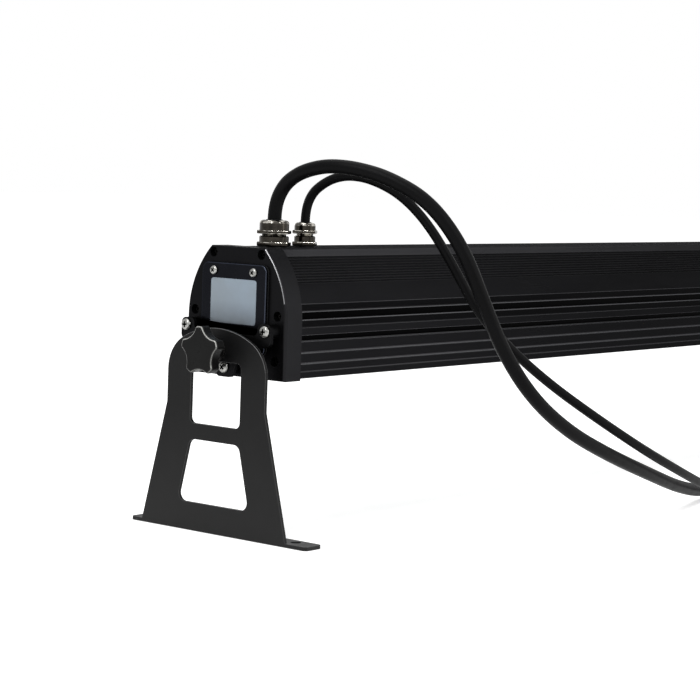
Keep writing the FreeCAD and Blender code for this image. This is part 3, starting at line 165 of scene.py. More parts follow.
def spreadTo(finish, value, low, high, lowTo, highTo):
    spread = finish.node_tree.nodes.new("ShaderNodeMapRange")
    spread.inputs["From Min"].default_value = low
    spread.inputs["From Max"].default_value = high
    spread.inputs["To Min"].default_value = lowTo
    spread.inputs["To Max"].default_value = highTo
    finish.node_tree.links.new(value, spread.inputs["Value"])
    return spread.outputs["Result"]


colourSockets = {"share": 0, "first": 6, "second": 7, "mixed": 2}  # of a mix node


def tintBy(finish, share, first, second):
    # goes from the first tint, a colour or an earlier tint, to the second as the share grows
    tree = finish.node_tree
    mix = tree.nodes.new("ShaderNodeMix")
    mix.data_type = "RGBA"
    under = mix.inputs[colourSockets["first"]]
    if isinstance(first, tuple):
        under.default_value = (*first, 1)
    else:
        tree.links.new(first, under)
    mix.inputs[colourSockets["second"]].default_value = (*second, 1)
    tree.links.new(share, mix.inputs[colourSockets["share"]])
    mixed = mix.outputs[colourSockets["mixed"]]
    tree.links.new(mixed, tree.nodes["Principled BSDF"].inputs["Base Color"])
    return mixed


def roughenBy(finish, value):
    tree = finish.node_tree
    tree.links.new(value, tree.nodes["Principled BSDF"].inputs["Roughness"])


def raiseBy(finish, value, high, strength, under=None):
    tree = finish.node_tree
    bump = tree.nodes.new("ShaderNodeBump")
    bump.inputs["Distance"].default_value = high
    bump.inputs["Strength"].default_value = strength
    tree.links.new(value, bump.inputs["Height"])
    if under is not None:
        tree.links.new(under.outputs["Normal"], bump.inputs["Normal"])
    tree.links.new(bump.outputs["Normal"], tree.nodes["Principled BSDF"].inputs["Normal"])
    return bump


def addMark(finish, name):
    # a number that pieces carry on their faces, 0 where they carry none
    mark = finish.node_tree.nodes.new("ShaderNodeAttribute")
    mark.attribute_name = name
    return mark.outputs["Fac"]


def addMath(finish, kind, first, second):
    tree = finish.node_tree
    step = tree.nodes.new("ShaderNodeMath")
    step.operation = kind
    for number, value in enumerate((first, second)):
        if isinstance(value, (int, float)):
            step.inputs[number].default_value = value
        else:
            tree.links.new(value, step.inputs[number])
    return step.outputs[0]


def heightIn(finish):
    # how high a point of the piece lies, in metres
    tree = finish.node_tree
    place = tree.nodes.new("ShaderNodeTexCoord")
    split = tree.nodes.new("ShaderNodeSeparateXYZ")
    tree.links.new(place.outputs["Object"], split.inputs[0])
    return split.outputs["Z"]


# What every finish shares: patches of colour, finer wear in the gloss, and grain
pattern = {
    "patchDetail": 4,
    "patchSpread": (0.35, 0.65, 0, 1),
    "wearDetail": 6,
    "wearRoughness": 0.7,
    "wearSpread": (0.3, 0.7),
    "wearRaised": 2,  # times the grain's height
    "wearStrength": 0.25,
    "grainDetail": 2,
    "grainStrength": 0.6,
    "wearAndSheenSpread": (0.25, 0.6, 0.55, 1),
    "specular": 0.5,
    "evenly": (1, 1, 1),
}


def makeFinish(name, look):
    specular = look.get("specular", pattern["specular"])
    stretch = look.get("stretch", pattern["evenly"])
    finish = newFinish(name, look["colour"], look.get("metallic", 0), look["rough"][0], specular)
    shader = finish.node_tree.nodes["Principled BSDF"]
    patches = addNoise(finish, look["patchScale"], pattern["patchDetail"], stretch)
    spotted = spreadTo(finish, patches, *pattern["patchSpread"])
    tint = tintBy(finish, spotted, look["colour"], look["otherColour"])
    # lighter towards the bottom and darker towards the top: painted light and shade
    if "lowPaintedLightColour" in look:
        paintedLightShare = spreadTo(finish, heightIn(finish), *look["paintedLightHeights"], 1, 0)
        tint = tintBy(finish, paintedLightShare, tint, look["lowPaintedLightColour"])
    wear = addNoise(finish, look["wearScale"], pattern["wearDetail"], stretch, pattern["wearRoughness"])
    rough = spreadTo(finish, wear, *pattern["wearSpread"], *look["rough"])
    # the edge mark lightens edges: wear, and painted highlight and painted reflection
    if "wearAndSheenColour" in look:
        patchyWearAndSheen = spreadTo(finish, patches, *look.get("wearAndSheenSpread", pattern["wearAndSheenSpread"]))
        wornAndSheen = addMath(finish, "MULTIPLY", addMark(finish, "edge"), patchyWearAndSheen)
        tint = tintBy(finish, wornAndSheen, tint, look["wearAndSheenColour"])
        rough = addMath(finish, "MULTIPLY", rough, spreadTo(finish, wornAndSheen, 0, 1, 1, look["edgeGloss"]))
    # painted shade in channels, rib gaps and on the caps' front face
    if "paintedShadeColour" in look:
        tint = tintBy(finish, addMark(finish, "deep"), tint, look["paintedShadeColour"])
        matt = addMath(finish, "MULTIPLY", addMark(finish, "matt"), look["mattRough"])
        rough = addMath(finish, "MAXIMUM", rough, matt)
    # a painted highlight along crests and rims
    if "paintedGlintColour" in look:
        tint = tintBy(finish, addMark(finish, "painted_glint"), tint, look["paintedGlintColour"])
    # painted shade in the screws' cross recesses
    if "recessShadeColour" in look:
        tintBy(finish, addMark(finish, "recess_shade"), tint, look["recessShadeColour"])
    roughenBy(finish, rough)
    grainStretch = look.get("grainStretch", pattern["evenly"])
    grain = addNoise(finish, look["grainScale"], pattern["grainDetail"], grainStretch)
    coarse = raiseBy(finish, wear, look["grainHigh"] * pattern["wearRaised"], pattern["wearStrength"])
    raiseBy(finish, grain, look["grainHigh"], pattern["grainStrength"], coarse)
    if "clear" in look:
        shader.inputs["Transmission Weight"].default_value = look["clear"]
        shader.inputs["IOR"].default_value = look["bending"]
    if "edgeTint" in look:
        shader.inputs["Specular Tint"].default_value = (*look["edgeTint"], 1)
    return finish


looks = {
    "black_anodised": {
        "colour": (0.0125, 0.0125, 0.0135), "otherColour": (0.015, 0.015, 0.0162), "rough": (0.32, 0.44),
        "metallic": 0.85, "specular": 0.1, "edgeTint": (0.12, 0.12, 0.12),
        # along edges, fins and the caps' sides: wear with painted light and highlight; in channels, rib
        # gaps and on the caps' front: painted shade; on the caps' crest: a painted highlight
        "wearAndSheenColour": (0.1, 0.1, 0.105), "edgeGloss": 0.5, "wearAndSheenSpread": (0.25, 0.6, 0.8, 1),
        "paintedShadeColour": (0.0015, 0.0015, 0.0017), "mattRough": 0.85, "paintedGlintColour": (0.3, 0.3, 0.31),
        "patchScale": 9, "wearScale": 60, "grainScale": 900, "grainHigh": 0.00004,
        "stretch": (0.15, 1, 1), "grainStretch": (0.05, 1, 1),
    },
    "powder_coat": {
        "colour": (0.0036, 0.0036, 0.0038), "otherColour": (0.005, 0.005, 0.0052), "rough": (0.38, 0.5),
        # lighter low down and darker high up: painted light and shade; a painted highlight along the
        # brackets' top rim
        "lowPaintedLightColour": (0.0136, 0.0136, 0.0137), "paintedLightHeights": (0.005, 0.1),
        "specular": 0.12, "wearAndSheenColour": (0.045, 0.045, 0.0457), "edgeGloss": 0.3,
        "paintedGlintColour": (0.22, 0.22, 0.225),
        "patchScale": 14, "wearScale": 70, "grainScale": 1500, "grainHigh": 0.00006,
    },
    "powder_coat_cast": {
        "colour": (0.009, 0.009, 0.0095), "otherColour": (0.0115, 0.0115, 0.012), "rough": (0.3, 0.42),
        "metallic": 0.85, "specular": 0.1, "edgeTint": (0.1, 0.1, 0.1),
        "wearAndSheenColour": (0.015, 0.015, 0.0155), "edgeGloss": 0.3,
        "patchScale": 20, "wearScale": 90, "grainScale": 1100, "grainHigh": 0.0001,
    },
    "zinc_screws": {
        "colour": (0.34, 0.34, 0.325), "otherColour": (0.22, 0.22, 0.21), "rough": (0.2, 0.34),
        # painted shade in the cross recess
        "metallic": 1, "recessShadeColour": (0.008, 0.008, 0.0075),
        "patchScale": 300, "wearScale": 700, "grainScale": 2600, "grainHigh": 0.00002,
    },
    "black_screws": {
        "colour": (0.006, 0.006, 0.0065), "otherColour": (0.009, 0.0088, 0.0085), "rough": (0.32, 0.48),
        # painted shade in the cross recess
        "specular": 0.12, "recessShadeColour": (0.002, 0.002, 0.002),
        "patchScale": 240, "wearScale": 600, "grainScale": 2400, "grainHigh": 0.00003,
    },
    "nickel_brass": {
        "colour": (0.046, 0.041, 0.034), "otherColour": (0.022, 0.02, 0.017), "rough": (0.12, 0.2),
        # the rims are bright in patches: painted highlight and painted reflection, besides wear
        "metallic": 1, "wearAndSheenColour": (0.55, 0.53, 0.48), "edgeGloss": 0.6,
        "wearAndSheenSpread": (0.46, 0.56, 0.08, 1),
        "patchScale": 170, "wearScale": 260, "grainScale": 1800, "grainHigh": 0.00002,
    },
    "gloss_cover": {
        "colour": (0.0082, 0.0087, 0.0108), "otherColour": (0.0105, 0.011, 0.0135), "rough": (0.22, 0.32),
        "metallic": 0.85, "specular": 0.1, "edgeTint": (0.1, 0.1, 0.1),
        # light blue lines along the edges: a painted highlight
        "wearAndSheenColour": (0.04, 0.045, 0.062), "edgeGloss": 0.5,
        "patchScale": 22, "wearScale": 80, "grainScale": 600, "grainHigh": 0.00002,
    },
    "frosted_window": {
        "colour": (0.255, 0.31, 0.37), "otherColour": (0.235, 0.275, 0.31), "rough": (0.42, 0.55),
        "specular": 0.3, "patchScale": 30, "wearScale": 220, "grainScale": 1600, "grainHigh": 0.00004,
    },
    "display_face": {
        "colour": (0.06, 0.075, 0.085), "otherColour": (0.075, 0.09, 0.1), "rough": (0.18, 0.28),
        "patchScale": 40, "wearScale": 120, "grainScale": 900, "grainHigh": 0.00002,
    },
    "knob_plastic": {
        "colour": (0.0042, 0.0042, 0.0042), "otherColour": (0.0058, 0.0058, 0.0058), "rough": (0.26, 0.38),
        # a painted highlight along the crest, and lighter edges: wear with painted highlight
        "specular": 0.08, "wearAndSheenColour": (0.03, 0.03, 0.029), "edgeGloss": 0.3,
        "paintedGlintColour": (0.42, 0.42, 0.4),
        "patchScale": 50, "wearScale": 180, "grainScale": 1900, "grainHigh": 0.00007,
    },
    "black_rubber": {
        "colour": (0.008, 0.008, 0.0085), "otherColour": (0.012, 0.012, 0.0125), "rough": (0.55, 0.75),
        "specular": 0.2, "patchScale": 40, "wearScale": 160, "grainScale": 1400, "grainHigh": 0.00008,
    },
    "silicone": {
        "colour": (0.45, 0.45, 0.43), "otherColour": (0.55, 0.55, 0.53), "rough": (0.45, 0.6),
        "patchScale": 60, "wearScale": 200, "grainScale": 1200, "grainHigh": 0.00004,
    },
    "cable_sheath": {
        "colour": (0.0022, 0.0022, 0.0024), "otherColour": (0.0032, 0.0032, 0.0035), "rough": (0.36, 0.48),
        "specular": 0.05, "patchScale": 18, "wearScale": 140, "grainScale": 1700, "grainHigh": 0.00006,
    },
    "lens_plastic": {
        "colour": (0.93, 0.94, 0.95), "otherColour": (0.97, 0.98, 0.98), "rough": (0.02, 0.07),
        "clear": 0.92, "bending": 1.49,
        "patchScale": 60, "wearScale": 160, "grainScale": 1200, "grainHigh": 0.00002,
    },
    "board_green": {
        "colour": (0.012, 0.09, 0.035), "otherColour": (0.018, 0.12, 0.05), "rough": (0.3, 0.42),
        "patchScale": 120, "wearScale": 300, "grainScale": 1300, "grainHigh": 0.00003,
    },
    "board_white": {
        "colour": (0.7, 0.71, 0.7), "otherColour": (0.78, 0.78, 0.77), "rough": (0.35, 0.48),
        "patchScale": 60, "wearScale": 220, "grainScale": 1100, "grainHigh": 0.00003,
    },
    "emitter_yellow": {
        "colour": (0.75, 0.5, 0.06), "otherColour": (0.8, 0.58, 0.1), "rough": (0.3, 0.45),
        "patchScale": 400, "wearScale": 700, "grainScale": 2200, "grainHigh": 0.00003,
    },
    "driver_can": {
        "colour": (0.42, 0.43, 0.44), "otherColour": (0.5, 0.51, 0.52), "rough": (0.35, 0.5),
        "metallic": 0.8, "patchScale": 30, "wearScale": 150, "grainScale": 1400, "grainHigh": 0.00004,
    },
    "terminal_plastic": {
        "colour": (0.02, 0.13, 0.04), "otherColour": (0.03, 0.17, 0.06), "rough": (0.4, 0.5),
        "patchScale": 120, "wearScale": 260, "grainScale": 1500, "grainHigh": 0.00005,
    },
    "stainless": {
        "colour": (0.55, 0.54, 0.52), "otherColour": (0.45, 0.44, 0.43), "rough": (0.24, 0.38),
        "metallic": 1, "patchScale": 120, "wearScale": 400, "grainScale": 2200, "grainHigh": 0.00002,
    },
    "gold_pins": {
        "colour": (0.8, 0.56, 0.22), "otherColour": (0.7, 0.48, 0.18), "rough": (0.18, 0.28),
        "metallic": 1, "patchScale": 200, "wearScale": 500, "grainScale": 2000, "grainHigh": 0.00002,
    },
    "nylon_washer": {
        "colour": (0.62, 0.6, 0.55), "otherColour": (0.7, 0.68, 0.63), "rough": (0.4, 0.55),
        "patchScale": 120, "wearScale": 300, "grainScale": 1600, "grainHigh": 0.00004,
    },
}
finishes = {name: makeFinish(name, look) for name, look in looks.items()}

# Control window: painted shade darkens the frost towards its lower edge, broken up by the frost's cloud
windowLook = {
    "shadeHeights": (0.184, 0.166, 0, 0.85),  # from this height to that one, and how much of the painted shade shows
    "cloudScale": 55,
    "cloudDetail": 5,
    "cloudRoughness": 0.6,
    "cloudSpread": (0.3, 0.7, 0.6, 1),
    "lowEdgeShadeColour": (0.1, 0.11, 0.12),
}
windowFinish = finishes["frosted_window"]
shadeShare = spreadTo(windowFinish, heightIn(windowFinish), *windowLook["shadeHeights"])
cloud = addNoise(
    windowFinish, windowLook["cloudScale"], windowLook["cloudDetail"], pattern["evenly"],
    windowLook["cloudRoughness"],
)
tint = windowFinish.node_tree.nodes["Principled BSDF"].inputs["Base Color"].links[0].from_socket
clouded = spreadTo(windowFinish, cloud, *windowLook["cloudSpread"])
paintedWindowShade = addMath(windowFinish, "MULTIPLY", shadeShare, clouded)
tintBy(windowFinish, paintedWindowShade, tint, windowLook["lowEdgeShadeColour"])

# Front glass: clear and faintly green, with fine dust in its gloss
glassLook = {
    "colour": (0.86, 0.93, 0.9),
    "rough": 0.04,
    "clear": 1.0,
    "bending": 1.5,
    "dustScale": 40,
    "dustStretch": (0.4, 1, 1),
    "dustSpread": (0.45, 0.75, 0.01, 0.05),
}
glassFinish = newFinish(
    "toughened_glass", glassLook["colour"], 0, glassLook["rough"], pattern["specular"]
)
glassShader = glassFinish.node_tree.nodes["Principled BSDF"]
glassShader.inputs["Transmission Weight"].default_value = glassLook["clear"]
glassShader.inputs["IOR"].default_value = glassLook["bending"]
dust = addNoise(
    glassFinish, glassLook["dustScale"], pattern["wearDetail"], glassLook["dustStretch"],
    pattern["wearRoughness"],
)
roughenBy(glassFinish, spreadTo(glassFinish, dust, *glassLook["dustSpread"]))
finishes["toughened_glass"] = glassFinish
print("finishes made:", len(finishes))


def paint(thing, name):
    thing.data.materials.clear()
    thing.data.materials.append(finishes[name])


slotOf = {entry["node"]: entry["material_slot"] for entry in frame["record"]["subparts"]}
bodyOf = {}
for bodyName, members in frame["record"]["behaviour"]["bodies"].items():
    for nodeName in members:
        bodyOf[nodeName] = bodyName
for nodeName, thing in nodes.items():
    paint(thing, slotOf[nodeName])


def stand(thing, *names):
    # the piece is finished, rides and stands in as its first node
    paint(thing, slotOf[names[0]])
    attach(thing, bodyOf[names[0]])
    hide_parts(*names)


def newThing(name, work):
    mesh = bpy.data.meshes.new(name)
    work.to_mesh(mesh)
    work.free()
    thing = bpy.data.objects.new(name, mesh)
    scene.collection.objects.link(thing)
    return thing


# Degrees between faces over which an edge stays sharp, by how the piece is made
sharpOver = {"softened": 50, "screws": 35, "glands": 30, "plugs": 40}
flatFaceWeight = 80  # how much the large faces set the shading at an edge


def newPiece(name, work, kind):
    # the finished mesh, shaded smooth except over the sharper edges
    for face in work.faces:
        face.smooth = True
    thing = newThing(name, work)
    thing.data.set_sharp_from_angle(angle=radians(sharpOver[kind]))
    evened = thing.modifiers.new("evened", "WEIGHTED_NORMAL")
    evened.keep_sharp = True
    evened.weight = flatFaceWeight
    return thing


def turned(work, profile, steps):
    # spins (radius, height) points round Z into a closed skin
    points = [work.verts.new((radius, 0, height)) for radius, height in profile]
    edges = [work.edges.new(pair) for pair in zip(points, points[1:])]
    bmesh.ops.spin(
        work, geom=points + edges, cent=(0, 0, 0), axis=(0, 0, 1), dvec=(0, 0, 0), angle=2 * pi,
        steps=steps, use_merge=True, use_duplicate=False,
    )
    bmesh.ops.remove_doubles(work, verts=work.verts, dist=polePoints)
    bmesh.ops.recalc_face_normals(work, faces=work.faces)


def markSlopes(work, least, most, axis):
    # faces that lie aslant to an axis get the edge mark: wear, and painted highlight and reflection on rims
    # and rounded edges
    wearAndSheenMark = work.faces.layers.float.get("edge") or work.faces.layers.float.new("edge")
    for face in work.faces:
        face.normal_update()
        if least < abs(face.normal[axis]) < most:
            face[wearAndSheenMark] = 1


def lieAlongX(work, y, z):
    # the turning axis goes from Z to X, at that height and distance
    bmesh.ops.rotate(work, verts=work.verts, cent=(0, 0, 0), matrix=Matrix.Rotation(pi / 2, 3, "Y"))
    bmesh.ops.translate(work, verts=work.verts, vec=(0, y, z))


sortDigits = 5  # decimals of a metre, enough to tell one solid from the next


def solidBoxes(node):
    # the corners of each separate solid of a CAD node, in a steady order
    work = bmesh.new()
    work.from_mesh(nodes[node].data)
    bmesh.ops.remove_doubles(work, verts=work.verts, dist=nearPoints)
    waiting = set(work.verts)
    boxes = []
    while waiting:
        found = [waiting.pop()]
        for vert in found:
            for edge in vert.link_edges:
                other = edge.other_vert(vert)
                if other in waiting:
                    waiting.remove(other)
                    found.append(other)
        places = [vert.co for vert in found]
        low = Vector([min(place[axis] for place in places) for axis in range(3)])
        high = Vector([max(place[axis] for place in places) for axis in range(3)])
        boxes.append((low, high))
    work.free()
    return sorted(boxes, key=lambda box: tuple(round(number, sortDigits) for number in box[0]))


# Pieces whose sharp edges are softened, as coating and tumbling leave them
softened = {
    "bracket_left": {"width": 0.0007, "segments": 3},
    "bracket_right": {"width": 0.0007, "segments": 3},
    "hub_plate_left": {"width": 0.0008, "segments": 3},
    "hub_plate_right": {"width": 0.0008, "segments": 3},
    "end_cap_left": {"width": 0.0005, "segments": 2},
    "end_cap_right": {"width": 0.0005, "segments": 2},
    "housing": {"width": 0.00035, "segments": 2},
    "glass_rail_near": {"width": 0.0004, "segments": 2},
    "glass_rail_far": {"width": 0.0004, "segments": 2},
    "control_cover": {"width": 0.0005, "segments": 2, "rounded": True},
    "control_window": {"width": 0.0006, "segments": 3},
    "knob_left": {"width": 0.0004, "segments": 2, "rounded": True},
    "knob_right": {"width": 0.0004, "segments": 2, "rounded": True},
    "driver": {"width": 0.0006, "segments": 2},
    "terminal_block": {"width": 0.0003, "segments": 2},
}
softening = {
    "sharpFrom": 35,  # degrees between faces
    "flatUnder": 0.5,  # degrees, faces that turn less are one
    "roundSlopes": (0.1, 0.985),  # how far a rounded edge's faces turn along X
}


# Heights of the housing's channels, fins, ribs and shoulder, and how much painted shade, or wear and
# painted light, each gets
bands = {
    # from this height to that one, and how much painted shade
    "channels": (
        (0.1786, 0.184, 0.55), (0.1722, 0.1776, 1), (0.1658, 0.1712, 0.55), (0.1556, 0.1595, 0.95),
    ),
    "fins": ((0.1776, 0.1786), (0.1712, 0.1722), (0.1452, 0.1462), (0.1367, 0.1377)),
    "ribLow": 0.2003,
    "ribPitch": 0.00211,
    "ribGap": 0.00105,
    "ribCount": 10,
    "ribDark": 0.45,
    "ribWearAndSheen": 0.3,
    "shoulder": (0.2212, 0.2258),
    "shoulderPaintedSheen": 0.5,
    "flatTop": 0.2255,
    "slack": 0.00005,
    "cavityHalf": 0.0465,
    "seam": (0.222, 0.224),  # no edge is rounded between these heights
    "longRun": 0.9,
    "endFace": 0.5,  # faces that turn further along X are cut ends
    "faceUp": 0.9,
}


def isWithin(height, low, high):
    return low - bands["slack"] < height < high + bands["slack"]


def faceMarks(work):
    # made before the bevel, because a new layer lets go of the faces that a name still holds
    return {name: work.faces.layers.float.new(name) for name in ("edge", "deep", "matt", "painted_glint")}


def markBands(work, marks):
    # channels and rib gaps get painted shade, fins painted highlight lines, edges wear and painted
    # highlight, and the shoulder over the ribs a painted sheen
    wearAndSheenMark, paintedShadeMark, mattMark = marks["edge"], marks["deep"], marks["matt"]
    ribs = [bands["ribLow"] + bands["ribPitch"] * number for number in range(bands["ribCount"])]
    for face in work.faces:
        face.normal_update()
        height = face.calc_center_median().z
        if abs(face.normal.x) > bands["endFace"]:
            continue
        for low, high, dark in bands["channels"]:
            if isWithin(height, low, high):
                face[paintedShadeMark] = dark
        if any(isWithin(height, low, low + bands["ribGap"]) for low in ribs):
            face[paintedShadeMark] = bands["ribDark"]
        if any(isWithin(height, low, high) for low, high in bands["fins"]):
            face[paintedShadeMark] = 0
            face[wearAndSheenMark] = 1
        if height > bands["ribLow"] - bands["ribGap"]:
            face[wearAndSheenMark] *= bands["ribWearAndSheen"]
        if isWithin(height, *bands["shoulder"]):
            face[wearAndSheenMark] = bands["shoulderPaintedSheen"]
        if height > bands["flatTop"] and face.normal.z > bands["faceUp"]:
            face[wearAndSheenMark] = 0
            face[mattMark] = 1


# The caps' rounded edge gets a painted highlight along its crest high up, weaker on the far side, and their
# sides are painted lighter and their front face darker, painted light and shade by face direction
capMarks = {
    "crest": (0.6, 0.84),  # how far the crest's faces turn along X
    "crestLow": 0.186,
    "aside": 0.2,  # and how far they turn along Y
    "painted_glint": 0.75,
    "farPaintedGlint": 0.2,
    "side": 0.1,
    "sideLong": 0.015,
    "rim": 0.12,
    "faceDark": 0.4,
}


def markCap(work, marks, bevelled):
    wearAndSheenMark, paintedShadeMark, paintedGlintMark = marks["edge"], marks["deep"], marks["painted_glint"]
    for face in work.faces:
        face.normal_update()
        slope = abs(face.normal.x)
        height = face.calc_center_median().z
        along = [vert.co.x for vert in face.verts]
        face[wearAndSheenMark] = 0
        if face in bevelled:
            face[wearAndSheenMark] = capMarks["rim"]
        # painted shade on the front face
        elif slope > capMarks["crest"][1]:
            face[paintedShadeMark] = capMarks["faceDark"]
        elif isWithin(slope, *capMarks["crest"]):
            if height > capMarks["crestLow"] and abs(face.normal.y) > capMarks["aside"]:
                face[paintedGlintMark] = capMarks["painted_glint"] if face.normal.y < 0 else capMarks["farPaintedGlint"]
        # painted light on the long side faces
        elif max(along) - min(along) > capMarks["sideLong"]:
            face[wearAndSheenMark] = capMarks["side"]


# The knobs' front edge gets a painted highlight along its crest, brighter on the upper side
knobMarks = {"crest": (0.5, 0.9), "front": 0.538, "upper": 0.8, "lower": 0.35, "turnedUp": 0.1}


def markKnob(work, marks):
    paintedGlintMark = marks["painted_glint"]
    for face in work.faces:
        outer = abs(face.calc_center_median().x) > knobMarks["front"]
        if outer and isWithin(abs(face.normal.x), *knobMarks["crest"]):
            turnedUp = face.normal.z > knobMarks["turnedUp"]
            face[paintedGlintMark] = knobMarks["upper"] if turnedUp else knobMarks["lower"]


# The brackets' rounded top gets a painted highlight along its rim where it faces up
bracketMarks = {"arcLow": 0.122, "painted_glint": 0.6, "turnedUp": 0.15}


def markBracket(bevelled, marks):
    paintedGlintMark = marks["painted_glint"]
    for face in bevelled:
        face.normal_update()
        onArc = face.calc_center_median().z > bracketMarks["arcLow"]
        if onArc and face.normal.z > bracketMarks["turnedUp"]:
            face[paintedGlintMark] = bracketMarks["painted_glint"]


def isOuterRun(edge):
    # an edge of the housing's skin that runs its whole length
    first, last = (vert.co for vert in edge.verts)
    beside = abs(first.y - lampMiddle) > bands["cavityHalf"]
    low, high = bands["seam"]
    over = first.z > bands["ribLow"] - bands["ribGap"] and not low < first.z < high
    return abs(first.x - last.x) > bands["longRun"] and (beside or over)


def isSharp(edge):
    return edge.is_manifold and edge.calc_face_angle(0) > radians(softening["sharpFrom"])


def softenedCopy(node, width, segments, rounded=False):
    work = bmesh.new()
    work.from_mesh(nodes[node].data)
    bmesh.ops.remove_doubles(work, verts=work.verts, dist=nearPoints)
    nearlyFlat = radians(softening["flatUnder"])
    bmesh.ops.dissolve_limit(work, angle_limit=nearlyFlat, verts=work.verts, edges=work.edges)
    marks = faceMarks(work)
    sharp = [edge for edge in work.edges if isSharp(edge) and (node != "housing" or isOuterRun(edge))]
    bevelled = bmesh.ops.bevel(
        work, geom=sharp, offset=width, segments=segments, profile=0.5, affect="EDGES", material=-1,
        clamp_overlap=True,
    )["faces"]
    for face in bevelled:
        face[marks["edge"]] = 1
    if rounded:
        markSlopes(work, *softening["roundSlopes"], 0)
    if node == "housing":
        markBands(work, marks)
    if node.startswith("end_cap"):
        markCap(work, marks, set(bevelled))
    if node.startswith("knob"):
        markKnob(work, marks)
    if node.startswith("bracket"):
        markBracket(bevelled, marks)
    stand(newPiece(f"{node}_softened", work, "softened"), node)


for node, shape in softened.items():
    softenedCopy(node, **shape)
print("edges softened:", len(softened))


# Screws with cross recesses, one head a solid of the CAD's screws, facing the way that the head does
screws = {
    "hub_screws_left": {"faces": (-1, 0, 0), "high": 0.003, "recess": 0.74},
    "hub_screws_right": {"faces": (1, 0, 0), "high": 0.003, "recess": 0.74},
    "control_cover_screws": {"faces": (-1, 0, 0), "high": 0.0024, "recess": 0.74},
    "end_cap_screws_left": {"faces": (-1, 0, 0), "high": 0.0036, "recess": 0.62},
    "end_cap_screws_right": {"faces": (1, 0, 0), "high": 0.0036, "recess": 0.62},
    "glass_rail_screws": {"faces": (0, 0, -1), "high": 0.0014, "recess": 0.62},
    "led_board_screws": {"faces": (0, 0, -1), "high": 0.0018, "recess": 0.62},
}
screwShape = {
    "steps": 32,
    "slotWidth": 0.2,  # of the head's width
    "slotTaper": (0.45, 0.65),  # how far the slot's floor narrows, along and across
    "cutterHigh": 1.3,  # of the head's height
    "pitUnder": 0.06,  # of the head's height, faces this far under the dome are the recess
    "shank": 0.5,  # of the head's width
    "turnStep": 47,  # degrees from one screw's cross to the next one's
    # shares of the head's radius and of its height
    "dome": ((0.0, 1.0), (0.42, 0.97), (0.72, 0.86), (0.9, 0.66), (0.985, 0.38), (1.0, 0.2), (0.97, 0.0)),
}


def crossCutter(width, high, recess, turn):
    work = bmesh.new()
    bmesh.ops.create_cube(work, size=1)
    along, across = screwShape["slotTaper"]
    for vert in work.verts:
        if vert.co.z < 0:
            vert.co.x *= along
            vert.co.y *= across
    size = (width * recess, width * screwShape["slotWidth"], high * screwShape["cutterHigh"])
    bmesh.ops.scale(work, verts=work.verts, vec=size)
    bmesh.ops.translate(work, verts=work.verts, vec=(0, 0, high))
    bmesh.ops.rotate(work, verts=work.verts, cent=(0, 0, 0), matrix=Matrix.Rotation(turn, 3, "Z"))
    return newThing("slot_cutter", work)


def domeRise(share):
    # the dome's height at a share of its radius
    for (nearShare, nearRise), (farShare, farRise) in zip(screwShape["dome"], screwShape["dome"][1:]):
        if nearShare <= share <= farShare:
            return nearRise + (farRise - nearRise) * (share - nearShare) / (farShare - nearShare)
    return 0


def crossHead(width, high, recess, long):
    work = bmesh.new()
    profile = [(share * width / 2, rise * high) for share, rise in screwShape["dome"]]
    shank = width / 2 * screwShape["shank"]
    profile += [(shank, 0), (shank, -long), (0, -long)]
    turned(work, profile, screwShape["steps"])
    head = newThing("screw_head", work)
    cutters = [crossCutter(width, high, recess, turn) for turn in (0, pi / 2)]
    for cutter in cutters:
        cut = head.modifiers.new("slot", "BOOLEAN")
        cut.operation = "DIFFERENCE"
        cut.solver = "EXACT"
        cut.object = cutter
    bpy.context.view_layer.update()
    cutHead = bpy.data.meshes.new_from_object(head.evaluated_get(bpy.context.evaluated_depsgraph_get()))
    for thing in (head, *cutters):
        bpy.data.meshes.remove(thing.data)
    # the faces that lie under the dome's skin are the recess, which gets painted shade
    recess_shade = cutHead.attributes.new("recess_shade", "FLOAT", "FACE")
    for face in cutHead.polygons:
        share = (face.center.x ** 2 + face.center.y ** 2) ** 0.5 / (width / 2)
        skin = (domeRise(share) - screwShape["pitUnder"]) * high
        recess_shade.data[face.index].value = float(0 < face.center.z < skin)
    return cutHead


def dressScrews(node, faces, high, recess):
    outward = Vector(faces)
    axis = max(range(3), key=lambda number: abs(outward[number]))
    turnOut = Vector((0, 0, 1)).rotation_difference(outward).to_matrix().to_4x4()
    work = bmesh.new()
    boxes = solidBoxes(node)
    size = boxes[0][1] - boxes[0][0]
    head = crossHead(size[(axis + 1) % 3], high, recess, size[axis] - high)
    for number, (lowest, highest) in enumerate(boxes):
        seat = (lowest + highest) / 2
        seat[axis] = (highest[axis] if outward[axis] > 0 else lowest[axis]) - outward[axis] * high
        spun = Matrix.Rotation(radians(screwShape["turnStep"] * number), 4, "Z")
        placed = head.copy()
        placed.transform(Matrix.Translation(seat) @ turnOut @ spun)
        work.from_mesh(placed)
        bpy.data.meshes.remove(placed)
    bpy.data.meshes.remove(head)
    stand(newPiece(f"{node}_heads", work, "screws"), node)


for node, screw in screws.items():
    dressScrews(node, **screw)
print("screws dressed:", len(screws))


# Cable glands: chamfered hexagons, a fine thread and a rounded cap
glands = {
    "power": {"flats": 0.0255, "round": 0.024, "thread": 0.02, "cable": 0.0114},
    "signal": {"flats": 0.019, "round": 0.0175, "thread": 0.014, "cable": 0.0078},
}
glandShape = {
    "flangeHigh": 0.0034,
    "chamfer": 0.0007,
    "rim": 0.0007,
    "threadPitch": 0.0008,
    "threadDeep": 0.00035,
    "nutHigh": 0.003,
    "neck": 0.0016,
    "capRound": 0.0026,
    "capSteps": 6,
    "cableGap": 0.0004,
    "bodySlopes": (0.1, 0.95),  # how far the faces with wear and painted highlight turn along Z
    "capSlopes": (0.1, 0.98),
    "steps": 48,
}


